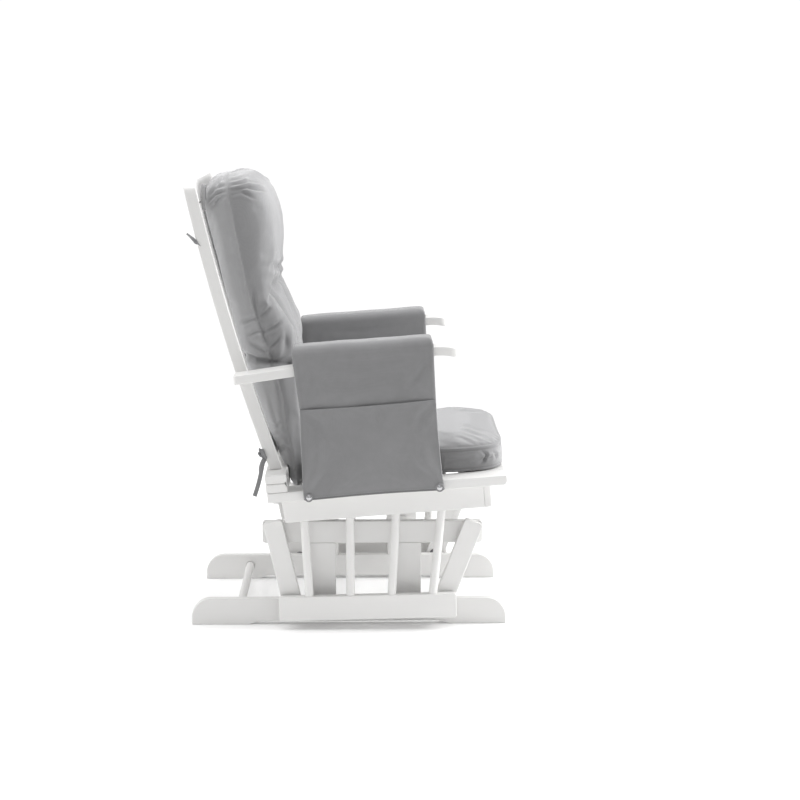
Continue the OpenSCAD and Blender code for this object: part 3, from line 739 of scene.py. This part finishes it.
def fold(u, v, line, depth, width):
    """Depth of a fold drawn in along a line, with a soft ridge on both sides and faded ends."""
    far, place = along_line(u, v, line)
    fade = np.sin(np.pi * np.clip(place, 0.02, 0.98)) ** 0.6
    return depth * fade * (bell(far, width) - 0.42 * bell(far - 2.1 * width, 1.1 * width))


def pulled(along, up, gain, lines):
    """The folds along several lines together, each a line with its depth and width."""
    total = np.zeros(len(up))
    for line, depth, width in lines:
        total -= gain * fold(along, up, line, depth, width)
    return total


def declare_padded(piece, node):
    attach(piece, "seat")
    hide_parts(node)


def ripple(points, lengths, amount, seed):
    """Soft unevenness of filled cloth: a few crossed waves with steady but irregular phases."""
    pick = np.random.default_rng(seed)
    total = np.zeros(len(points))
    for length in lengths:
        for _ in range(3):
            way = pick.normal(size=3)
            way /= np.linalg.norm(way)
            wave = points @ way * 2 * np.pi / (length * pick.uniform(0.8, 1.25))
            total += np.sin(wave + pick.uniform(0, 6.28))
    return amount * total / (3 * len(lengths))


SEAT_SEAMS = (85.0, 136.0)
SEAT_UNDERSIDE, SEAT_ENDS = 80.8, (63.0, 519.0)
SEAT_HALF_W, SEAT_MID, SEAT_HALF_L = 246.0, 290.5, 226.0
SEAT_LEVELS = (
    (81.2, 60), (81.3, 24), (82.4, 6), (85.0, 0), (92, -1), (101, -2), (110, -2), (119, -2),
    (128, -1), (136.0, 0), (141.5, 2), (147.0, 7), (151.5, 15), (155, 28), (157.6, 46),
    (159.6, 74), (160.6, 110),
)


def seat_level(up, inset):
    def point(turn):
        across = squared(math.cos(turn), CASE_SQUARED)
        along = squared(math.sin(turn), CASE_SQUARED)
        drawn = 1 - 0.014 * math.cos(math.pi * along / 2) ** 2
        drawn_in = 1 - 0.010 * math.cos(math.pi * across / 2) ** 2
        forward = SEAT_MID + along * (SEAT_HALF_L - inset) * drawn_in
        half_w = SEAT_HALF_W + float(np.interp(forward, (364, 380, 410, 500), (2, 9, 16, 17)))
        return across * (half_w - inset) * drawn, forward, up
    return point


def seat_rim(own):
    """1 at the cushion's outer edge and less within it."""
    return np.abs(own[:, 0] / SEAT_HALF_W) ** 6.6 + np.abs((own[:, 1] - SEAT_MID) / SEAT_HALF_L) ** 6.6


def seat_held(own):
    near = np.minimum(np.abs(own[:, 2] - SEAT_SEAMS[0]), np.abs(own[:, 2] - SEAT_SEAMS[1]))
    return np.where((seat_rim(own) > 0.62) & (near < 4.5), 1.0, 0.0)


seat_cushion = bare_piece(
    stacked_rings([seat_level(up, inset) for up, inset in SEAT_LEVELS], 120),
    "seat_cushion_sewn", CUSHION_CLOTH,
)
stuff(seat_cushion, 0.0052, 0.0045, seat_held)
points, normals = points_of(seat_cushion.data)
own = own_frame(points)
along, up = own[:, 1], own[:, 2]
side = unit((seat_rim(own) - 0.55) / 0.3)
push = ripple(own, (170, 95), 0.9, 3)
seam_lines_and_painted_shade = np.zeros(len(own))
for seam in SEAT_SEAMS:
    off = up - seam
    push += side * (2.0 * bell(off, 2.2) - 1.3 * bell(np.abs(off) - 5.0, 2.4))
    seam_lines_and_painted_shade += side * 0.5 * bell(np.abs(off) - 4.6, 1.6)
band = side * np.exp(-((up - 111) / 17) ** 4)
push += band * 1.1 * np.sin(along / 11.0 + 2.0 * np.sin(along / 37.0)) * bell(along - 470, 60)
BAND_CREASE = 2.8
push += band * pulled(along, up, 1.0, [(line, depth, BAND_CREASE) for line, depth in (
    (((440, 104), (470, 108), (508, 112)), 3.6), (((462, 129), (474, 118), (468, 103), (452, 96)), 4.6),
    (((395, 121), (430, 125), (458, 124)), 2.2), (((372, 106), (400, 112), (428, 108)), 2.0),
    (((488, 122), (498, 112), (494, 103)), 2.6), (((300, 112), (330, 118), (360, 112)), 1.6),
)])
own = own_frame(points + normals * (push / 1000)[:, None])
own[:, 2] = np.maximum(own[:, 2], SEAT_UNDERSIDE)
own[:, 1] = np.clip(own[:, 1], *SEAT_ENDS)
limit = np.interp(own[:, 1], (364, 380, 410), (250, 256, 265))
own[:, 0] = np.clip(own[:, 0], -limit, limit)
set_points(seat_cushion, own)
set_mask(seat_cushion, "seam", seam_lines_and_painted_shade)
declare_padded(seat_cushion, "seat_cushion")

# ---- Back cushion ------------------------------------------------------------------------
# A tall stuffed case of a front and a back panel with one seam down each side. Covered
# buttons draw the front in at the waist, and its shoulders are gathered into the seam.
stile_points = corners_of("stile_left", "crest_rail")
stile_heights = np.unique(np.round(stile_points[:, 2], 0))
stile_fronts = [stile_points[np.abs(stile_points[:, 2] - h) < 0.8, 1].max() for h in stile_heights]
FIT = np.polyfit(stile_heights, stile_fronts, 3)


def wood_front(up):
    """Front of the stiles and the crest rail at a height."""
    return np.polyval(FIT, np.clip(up, 122, 797))


FRONT_LINE = (
    (68, 44), (80, 53), (100, 57), (140, 58), (200, 58), (270, 60), (330, 64), (355, 63), (372, 55),
    (400, 58), (440, 52), (490, 38), (515, 27), (530, 22), (548, 22), (575, 23), (600, 26), (640, 32),
    (690, 33), (720, 29), (745, 21), (765, 11), (780, -1), (792, -16), (800, -34), (804, -52),
)
HALF_LINE = (
    (68, 218), (80, 228), (95, 231), (110, 234), (125, 237), (140, 238), (740, 238), (762, 235),
    (778, 228), (789, 216), (796, 198), (801, 172), (804, 138),
)
SIDE_SEAM = (
    (82, 32), (146, 30), (190, 23), (226, 18), (282, 16), (317, 11), (411, -13), (470, -28), (540, -42),
    (621, -52), (712, -61), (760, -67), (812, -70),
)
REAR_SQUARED = 0.34
BACK_ENDS = (67.0, 809.0)
BUTTONS = ((-178, 530), (178, 530), (0, 545))
back_heights = [68 + step * 736 / 84 for step in range(85)]


def table(line, value):
    return np.interp(value, [p[0] for p in line], [p[1] for p in line])


def back_level(up):
    front = float(table(FRONT_LINE, up)) - 4
    rear = float(wood_front(up)) + 5
    if up < 126:
        rear = 19.0
    if up > 735:
        rear += (up - 735) ** 2 * 0.0052
    half_w = float(table(HALF_LINE, up))
    middle = min(float(table(SIDE_SEAM, up)), front - 8)
    fullness = float(np.interp(up, (330, 430), (0.86, 0.40)))

    def point(turn):
        power = fullness if math.sin(turn) > 0 else REAR_SQUARED
        deep = front - middle if math.sin(turn) > 0 else middle - rear
        across = squared(math.cos(turn), power) * half_w
        along = middle + squared(math.sin(turn), power) * deep
        if math.sin(turn) > 0:
            for button_x, button_up in BUTTONS:
                reach = math.hypot(across - button_x, up - button_up)
                along -= 13 * math.exp(-(reach / 26) ** 2)
        return across, along, up
    return point


def back_held(own):
    grip = np.where(own[:, 2] < 84, 0.6, 0.0)
    for button_x, button_up in BUTTONS:
        reach = np.hypot(own[:, 0] - button_x, own[:, 2] - button_up)
        grip = np.where((reach < 12) & (own[:, 1] > -20), 1.0, grip)
    return grip


back_cushion = bare_piece(
    stacked_rings([back_level(up) for up in back_heights], 112), "back_cushion_sewn", CUSHION_CLOTH,
)
stuff(back_cushion, 0.0065, 0.007, back_held, 0.02)
points, normals = points_of(back_cushion.data)
own = own_frame(points)
across, along, up = own[:, 0], own[:, 1], own[:, 2]
facing = unit(np.abs(normals[:, 0]) * 1.6 - 0.3)
push = ripple(own, (170, 85), 2.2, 11)
seam_at = table(SIDE_SEAM, up)
off = along - seam_at
outer = unit((np.abs(across) - 60) / 60)
push += outer * (1.6 * bell(off, 3.0) - 2.0 * bell(off + 6, 3.4))
seam_lines_and_painted_shade = outer * 0.25 * bell(off + 3.0, 1.8)
front_side = unit(off / 10)
rear_side = unit(-off / 10)
shoulder = unit((np.abs(across) - 110) / 80)
GATHER = 3.4
# gathers that run forward from the seam over the shoulders
for height, reach, depth in (
    (806, 40, 2.6), (797, 66, 3.8), (787, 86, 4.6), (777, 100, 5.2), (765, 96, 5.6), (755, 62, 3.2),
):
    line = [(-66, height), (-66 + 0.45 * reach, height + 7), (-66 + reach, height - 12)]
    push -= front_side * shoulder * fold(along, up, line, depth, GATHER)
for height, reach, depth in (
    (806, 24, 3.0), (794, 34, 4.0), (780, 44, 4.4), (767, 48, 4.6), (757, 36, 3.4),
):
    line = [(-72, height), (-72 - 0.5 * reach, height - 6), (-72 - reach, height - 26)]
    push -= rear_side * shoulder * fold(along, up, line, depth, GATHER)
# short folds that pull towards the seam above the arm
push += facing * pulled(along, up, 1.0, (
    (((-30, 540), (-30, 500), (-24, 462)), 4.0, 3.6), (((-26, 470), (-18, 440), (-10, 405)), 4.8, 3.6),
    (((-66, 462), (-46, 468), (-22, 474)), 4.6, 3.4), (((-22, 474), (-6, 484), (6, 496)), 4.4, 3.4),
    (((-50, 432), (-36, 440), (-18, 442)), 4.4, 3.4), (((-20, 438), (8, 448), (38, 466)), 6.0, 4.4),
    (((-12, 396), (2, 406), (22, 422)), 4.6, 3.8), (((-52, 420), (-28, 400), (-8, 390)), 5.2, 4.0),
    (((20, 372), (32, 402), (38, 446)), 3.0, 5.0), (((-6, 362), (0, 378), (-4, 396)), 4.0, 3.4),
    (((-16, 300), (-8, 250), (4, 200)), 2.4, 4.6), (((-22, 226), (0, 220), (16, 232)), 2.6, 3.6),
    (((-20, 196), (0, 200), (18, 190)), 3.0, 3.6), (((-6, 160), (10, 168), (26, 160)), 3.2, 3.6),
    (((6, 330), (10, 290), (14, 262)), 2.2, 4.6),
))
# the tuck where the arm draws the cushion in, with painted shade in its crease
tuck_at = 380 - (along + 55) * 0.22
tuck = bell(up - tuck_at, 9)
push -= unit(facing + 0.3) * 17.0 * tuck
push += facing * 3.0 * bell(up - tuck_at - 26, 14)
# painted shade: the tuck's crease is darkened through the seam mask
seam_lines_and_painted_shade = np.maximum(seam_lines_and_painted_shade, facing * tuck * 0.9)
# the front is drawn in at its buttons, with folds that run out from each
front_face = unit(normals[:, 1] * -1.4)
for button_x, button_up in BUTTONS:
    reach = np.hypot(across - button_x, up - button_up)
    turn = np.arctan2(up - button_up, across - button_x)
    push -= front_face * 6.0 * bell(reach, 20)
    push -= front_face * 2.2 * (0.5 + 0.5 * np.cos(7 * turn + 1.3)) * bell(reach - 34, 26)
push -= front_face * fold(across, up, [(-236, 588), (-90, 574), (60, 566), (236, 552)], 6.0, 7)
for side in (-1, 1):
    push -= front_face * fold(across, up, [(side * 178, 530), (side * 90, 540), (0, 545)], 4.0, 9)
    line = [(side * 178, 530), (side * 150, 450), (side * 156, 400)]
    push -= front_face * fold(across, up, line, 3.0, 10)
own = own_frame(points + normals * (push / 1000)[:, None])
own[:, 2] = np.clip(own[:, 2], *BACK_ENDS)
own[:, 1] = np.maximum(own[:, 1], np.where(own[:, 2] < 125, 16.5, wood_front(own[:, 2]) + 1.8))
own[:, 1] = np.where(own[:, 2] < 165, np.minimum(own[:, 1], 60.0), own[:, 1])
limit = np.where(own[:, 2] < 425, 250.0, 256.0)
own[:, 0] = np.clip(own[:, 0], -limit, limit)
set_points(back_cushion, own)
# painted shade on the lower front panel beside the arm cover, darkened through the seam mask
lower_front_painted_shade = facing * unit((off - 2) / 8) * unit((372 - up) / 20)
set_mask(back_cushion, "seam", np.maximum(seam_lines_and_painted_shade, 0.6 * lower_front_painted_shade))
# painted light: the rear panel behind the side seam is lightened through the panel mask
set_mask(back_cushion, "panel", unit(0.5 - off / 3))
declare_padded(back_cushion, "back_cushion")

# Three cloth-covered buttons, each a shallow dome pressed over a rim
BUTTON_R, BUTTON_PROUD, BUTTON_DOME = 10.5, 1.5, 0.42
buttons = bmesh.new()
for button_x, button_up in BUTTONS:
    near = np.hypot(own[:, 0] - button_x, own[:, 2] - button_up) + np.where(own[:, 1] < -20, 1e3, 0)
    seat_at = own[np.argsort(near)[:12], 1].mean()
    made = bmesh.ops.create_uvsphere(buttons, u_segments=28, v_segments=14, radius=BUTTON_R)
    for vert in made["verts"]:
        x, y, z = vert.co
        deep = seat_at + BUTTON_PROUD + BUTTON_DOME * z
        vert.co = chair_frame((button_x + x, deep, button_up + y))[0]
bmesh.ops.recalc_face_normals(buttons, faces=buttons.faces)
for face in buttons.faces:
    face.smooth = True
keep_piece(buttons, "back_buttons_covered", CUSHION_CLOTH, "seat", [])

# ---- Arm covers --------------------------------------------------------------------------
# A padded sleeve over each arm, stitched from one doubled cloth: wadding on top, a short
# panel inside and a long one outside that reaches the seat board and snaps to its edge.
COVER_IN, COVER_OUT, COVER_TOP = 254.0, 336.0, 411.0
COVER_FOOT, COVER_INNER_FOOT, FOOT_STRIP = 57.5, 82.0, 62.0
IN_R, IN_TURN, OUT_R, OUT_TURN = 19, 392, 21, 390
COVER_HEEL, COVER_L = 50, 320
COVER_CLOTH_T, POCKET_CLOTH_T = 0.0045, 0.0013
POCKET_L, POCKET_H, POCKET_HEEL, POCKET_FOOT, POCKET_FACE = 301, 206, 60, 63, 337
REAR_EDGE = ((57, 49), (85, 48), (180, 52), (266, 56), (331, 52), (369, 50), (400, 49), (411, 52))
FRONT_EDGE = (
    (57, 371), (90, 368), (200, 365), (270, 366), (353, 368), (395, 370), (404, 368), (411, 362),
)


def cover_outline():
    """The sleeve's outer line across the arm, from the inner hem over the top to the outer hem."""
    rise = IN_TURN - COVER_INNER_FOOT
    line = [(COVER_IN, COVER_INNER_FOOT + step * rise / 38) for step in range(39)]
    for step in range(1, 8):
        turn = math.pi - step * math.pi / 16
        line.append((COVER_IN + IN_R + IN_R * math.cos(turn), IN_TURN + IN_R * math.sin(turn)))
    width = COVER_OUT - COVER_IN - 44
    line += [(COVER_IN + 21 + step * width / 5, COVER_TOP + 0.5) for step in range(6)]
    for step in range(1, 8):
        turn = math.pi / 2 - step * math.pi / 16
        line.append((COVER_OUT - OUT_R + OUT_R * math.cos(turn), OUT_TURN + OUT_R * math.sin(turn)))
    line += [(COVER_OUT, 389 - step * (389 - COVER_FOOT) / 42) for step in range(43)]
    return line


def thickened(piece, thickness):
    """Smooths a sheet, gives it its cloth's thickness and subdivides it once."""
    smoothed(piece)
    thick = piece.modifiers.new("cloth_thickness", "SOLIDIFY")
    thick.thickness = thickness
    thick.offset = 0
    subdivided(piece)


arm_points = corners_of("arm_left")
straight = arm_points[arm_points[:, 1] < 360]
ARM_TOP = np.polyfit(straight[:, 1], straight[:, 2], 1)
ARM_TOP[1] += 10.5 / math.cos(math.atan(ARM_TOP[0]))

for side, name in ((-1, "right"), (1, "left")):
    sleeve = bmesh.new()
    outline = cover_outline()
    row = [sleeve.verts.new(chair_frame((side * x, COVER_HEEL, up))[0]) for x, up in outline]
    edges = [sleeve.edges.new(pair) for pair in zip(row, row[1:])]
    ahead = Vector(chair_frame((0, 60, 0))[0]) - Vector(chair_frame((0, 50, 0))[0])
    for step in range(32):
        row, edges = drawn_out(sleeve, edges)
        bmesh.ops.translate(sleeve, vec=ahead, verts=row)
    bmesh.ops.recalc_face_normals(sleeve, faces=sleeve.faces)
    probe = max(sleeve.faces, key=lambda face: side * face.calc_center_median().x)
    if probe.normal.x * side < 0:
        bmesh.ops.reverse_faces(sleeve, faces=sleeve.faces)
    bmesh.ops.solidify(sleeve, geom=list(sleeve.faces), thickness=COVER_CLOTH_T)
    bmesh.ops.recalc_face_normals(sleeve, faces=sleeve.faces)
    cover = bare_piece(sleeve, "arm_cover_" + name + "_sewn", COVER_CLOTH)
    subdivided(cover)
    settle(cover)
    smoothed(cover)
    points, normals = points_of(cover.data)
    own = own_frame(points)
    x, along, up = own[:, 0] * side, own[:, 1].copy(), own[:, 2].copy()
    share = unit((along - COVER_HEEL) / COVER_L)
    within = (x > COVER_IN + 2.4) & (x < COVER_OUT - 2.4) & (up < COVER_TOP - 2.5)
    roof = within & (up > 383) & (normals[:, 2] < 0.2)
    side_panel = unit((x - 326) / 6) * unit((398 - up) / 30)
    inner_panel = unit((264 - x) / 6) * unit((398 - up) / 30)
    sway = ripple(np.column_stack((0 * along, along, up)), (240, 120), 1.5, 21 + side)
    # soft diagonal pulls from the snaps and slack under the arm, the same through both skins
    pulls = pulled(along, up, 1.7, (
        (((62, 72), (88, 130), (96, 205)), -2.4, 15), (((76, 70), (125, 110), (150, 170)), 1.6, 15),
        (((358, 72), (330, 120), (322, 180)), -2.0, 14), (((350, 80), (300, 105), (262, 150)), 1.3, 14),
        (((90, 330), (180, 318), (280, 330)), 1.4, 16), (((120, 372), (210, 362), (320, 372)), 1.0, 9),
        (((66, 262), (120, 244), (180, 250)), 1.0, 9), (((360, 262), (310, 246), (250, 250)), 1.0, 9),
        (((300, 300), (330, 320), (352, 352)), 1.4, 8), (((66, 300), (84, 322), (88, 356)), 1.3, 8),
    ))
    x = x + side_panel * (sway + pulls) - inner_panel * (0.6 * sway + 0.5 * pulls) * unit((up - 90) / 60)
    x = x + unit((x - 326) / 6) * unit((up - 330) / 60) * unit((400 - up) / 20) * 1.6
    # wadding: the top swells between its ends and dips a little at the stitching
    puff = unit((up - 396) / 12) * unit((x - 250) / 20) * unit((340 - x) / 20)
    crown = ripple(np.column_stack((0 * along, along, 0 * along)), (130, 60), 1.2, 31 + side)
    new_up = up + np.where(roof, 0, puff * crown)
    rim = np.minimum(along - COVER_HEEL, COVER_HEEL + COVER_L - along)
    hem = bell(rim - 9, 1.6) * (rim < 16)
    cuff = bell(np.clip(rim, 0, 99), 6)
    shell = ~within
    x = x - np.where(shell, (side_panel - inner_panel) * (0.5 * hem + 0.5 * cuff), 0)
    new_up = new_up - np.where(shell, puff * (0.6 * hem + 1.0 * cuff), 0)
    foot_hem = bell(up - COVER_FOOT - 8, 1.5) * side_panel
    x = x - np.where(shell, 0.5 * foot_hem, 0)
    # the roof of the sleeve lies on the arm and leaves the wadding its thickness
    new_up = np.where(roof, np.polyval(ARM_TOP, along) + 1.6, new_up)
    rear = table(REAR_EDGE, up)
    front = table(FRONT_EDGE, up)
    new_along = rear + share * (front - rear)
    rise = side_panel * unit((110 - up) / 52) * 3.0 * np.sin(np.pi * share)
    own = np.column_stack((side * x, new_along, new_up + rise))
    set_points(cover, own)
    stitched = np.maximum(hem * np.maximum(side_panel, np.maximum(puff, inner_panel)), foot_hem)
    # painted shadow: a dark strip along the outer panel below the pocket's foot
    foot = np.where(shell & (side_panel > 0.9) & (up < FOOT_STRIP), 0.8, 0)
    set_mask(cover, "seam", np.where(shell, stitched, 0) * 0.16 + foot)
    declare_padded(cover, "arm_cover_" + name)

    # the pocket: one hemmed panel sewn down at its sides and foot, its mouth a little open
    panel = bmesh.new()
    bmesh.ops.create_grid(panel, x_segments=76, y_segments=54, size=0.5)
    for vert in panel.verts:
        ahead, rise = (vert.co.x + 0.5) * POCKET_L, (vert.co.y + 0.5) * POCKET_H
        vert.co = chair_frame((side * POCKET_FACE, POCKET_HEEL + ahead, POCKET_FOOT + rise))[0]
    pocket = bare_piece(panel, "pocket_" + name + "_sewn", COVER_CLOTH)
    points, normals = points_of(pocket.data)
    own = own_frame(points)
    along, up = own[:, 1].copy(), own[:, 2].copy()
    share = unit((along - POCKET_HEEL) / POCKET_L)
    height = unit((up - POCKET_FOOT) / POCKET_H)
    rear, front = table(REAR_EDGE, up) + 1.0, table(FRONT_EDGE, up) - 1.0
    bow = np.sin(np.pi * share)
    proud = POCKET_FACE + 0.3 + 2.6 * bow ** 0.7 * np.sin(np.pi * np.clip(height, 0, 0.62) / 1.24)
    sway = ripple(np.column_stack((0 * along, along, up)), (200, 95), 1.0, 41 + side)
    pulls = pulled(along, up, 1.8, (
        (((62, 72), (88, 130), (96, 205)), -2.6, 13), (((76, 70), (125, 110), (150, 170)), 1.7, 14),
        (((358, 72), (330, 120), (322, 180)), -2.2, 13), (((350, 80), (300, 105), (262, 150)), 1.4, 13),
        (((66, 262), (98, 238), (112, 200)), 1.4, 8), (((360, 262), (330, 236), (312, 196)), 1.4, 8),
        (((130, 266), (140, 240), (134, 210)), 1.0, 8), (((232, 266), (226, 240), (236, 214)), 0.9, 8),
    ))
    mouth = unit((height - 0.80) / 0.2) ** 2 * bow ** 0.6
    gape = mouth * (2.6 + 1.4 * np.sin(9 * share + 1.0) + 1.2 * np.sin(17 * share))
    inward = np.minimum(share, 1 - share)
    hold = unit(inward / 0.03)
    thread = unit(bell(inward * POCKET_L - 4, 1.4) + bell(up - POCKET_FOOT - 4, 1.4))
    x = proud + hold * (sway + pulls + gape) - 0.4 * thread
    lift = 3.2 * bow * (1 - height) ** 2 - 2.0 * unit(np.abs(share - 0.5) * 2 - 0.8) * (1 - height)
    dip = -2.2 * bow * height ** 6
    x = side * np.maximum(x, POCKET_FACE)
    own = np.column_stack((x, rear + share * (front - rear), up + lift + dip))
    set_points(pocket, own)
    set_mask(pocket, "seam", thread * 0.14)
    thickened(pocket, POCKET_CLOTH_T)
    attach(pocket, "seat")
    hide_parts("pocket_" + name)

# ---- Snaps -------------------------------------------------------------------------------
# Nickel press snaps with a domed cap rolled over a cloth washer hold the covers' lower
# corners. Their studs are screwed into the edge of the seat board.
turned_set("cover_snaps", "cover_snaps_domed", CHROME, "seat", lambda reach: [
    (0, 0), (0, 0.0020), (0.0005, 0.0025), (reach - 0.0026, 0.0025), (reach - 0.0026, 0.0062),
    (reach - 0.0024, 0.0068), (reach - 0.0018, 0.0070), (reach - 0.0012, 0.0068),
    (reach - 0.0009, 0.0060), (reach - 0.0010, 0.0053), (reach - 0.0006, 0.0046),
    (reach - 0.0002, 0.0028), (reach, 0.0010), (reach, 0),
], ["cover_snaps"], 36)
turned_set("cover_snaps", "snap_washers", COVER_CLOTH, "seat", lambda reach: [
    (reach + along, radius) for along, radius in (
        (-0.0026, 0.0074), (0.0002, 0.0076), (0.0012, 0.0082), (0.0010, 0.0090),
        (-0.0002, 0.0098), (-0.0026, 0.0100), (-0.0026, 0.0074),
    )
], [], 36)

# ---- Cushion ties ------------------------------------------------------------------------
# Narrow folded tapes sewn to the back cushion go round the stiles. The lower pair is tied
# in a bow behind each stile's foot, and the upper pair's short ends stand out behind.
TIE_WIDTH, NARROW_TIE, TAB_WIDTH = 0.0105, 0.0101, 0.0120
TAPE_CLOTH_T = 0.0012
TAPE_STEPS = 8


def tape(name, side, path, across, width=TIE_WIDTH):
    """A tape along a path in the seat's frame, mirrored to its side, its width lying across."""
    ribbon = bmesh.new()
    path = np.array(path, float) * (side, 1, 1)
    fine_path = []
    last = len(path) - 1
    for index in range(last):
        p0, p1, p2, p3 = (path[min(max(index + step, 0), last)] for step in (-1, 0, 1, 2))
        for step in range(TAPE_STEPS):
            t = step / TAPE_STEPS
            fine_path.append(0.5 * (
                2 * p1 + (p2 - p0) * t + (2 * p0 - 5 * p1 + 4 * p2 - p3) * t ** 2
                + (3 * p1 - p0 - 3 * p2 + p3) * t ** 3
            ))
    fine_path.append(path[-1])
    spots = [Vector(spot) for spot in chair_frame(np.array(fine_path))]
    overs = []
    for last, spot in zip([spots[0]] + spots, spots[1:] + [spots[-1]]):
        run = (spot - last).normalized()
        over = Vector(across) - run * run.dot(Vector(across))
        overs.append(over.normalized() * width / 2)
    pair = [ribbon.verts.new(spots[0] - overs[0]), ribbon.verts.new(spots[0] + overs[0])]
    edges = [ribbon.edges.new(pair)]
    for spot, over in zip(spots[1:], overs[1:]):
        fresh, edges = drawn_out(ribbon, edges)
        fresh.sort(key=lambda vert: vert.co.dot(over))
        fresh[0].co, fresh[1].co = spot - over, spot + over
    crossing = [e for e in ribbon.edges if abs(e.calc_length() - width) < 1e-5]
    bmesh.ops.subdivide_edges(ribbon, edges=crossing, cuts=2)
    piece = keep_piece(ribbon, name, TIE_CLOTH, "seat", [])
    thickened(piece, TAPE_CLOTH_T)
    return piece


for side, name in ((-1, "right"), (1, "left")):
    tail = tape("tie_tail_" + name, side, [
        (259, -34, 152), (261, -38, 146), (261, -42, 138), (261, -46, 124), (261, -51, 106),
        (262, -58, 86), (263, -67, 64),
    ], (0.25, 1, 0.30))
    if side < 0:
        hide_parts("cushion_ties")
    tape("tie_tail_short_" + name, side, [
        (257, -36, 150), (257, -42, 142), (256, -47, 130), (255, -49, 118),
    ], (0.5, 1, 0.3), NARROW_TIE)
    for loop, at, tall, out in (("upper", 262, 173, 0), ("lower", 258, 163, 3)):
        tape(f"tie_bow_{name}_{loop}", side, [
            (at, -34, 149), (at + 3, -37, 157), (at + 4, -40 - out, tall - 5), (at, -43 - out, tall),
            (at - 3, -44 - out, tall - 5), (at - 4, -40, 157), (at, -35, 150),
        ], (0.3, 1, 0.4), NARROW_TIE)
    tape("tie_neck_" + name, side, [
        (258, -140, 648), (261, -146, 655), (261, -151, 662), (261, -158, 670), (262, -167, 679),
    ], (0.2, 1, 0.6), NARROW_TIE)
    # the folded corner of the rear panel stands up between the cushion and the crest
    tab = tape("corner_tab_" + name, side, [
        (238, -125, 728), (239, -125, 745), (239, -124, 764), (238, -122, 780), (235, -120, 785),
        (233, -121, 776), (233, -123, 750),
    ], (0.6, 1, 0.1), TAB_WIDTH)
    tab.data.materials[0] = CUSHION_CLOTH
    # painted light: the tab is lightened to make up for the shade it stands in
    set_mask(tab, "panel", np.ones(len(tab.data.vertices)))
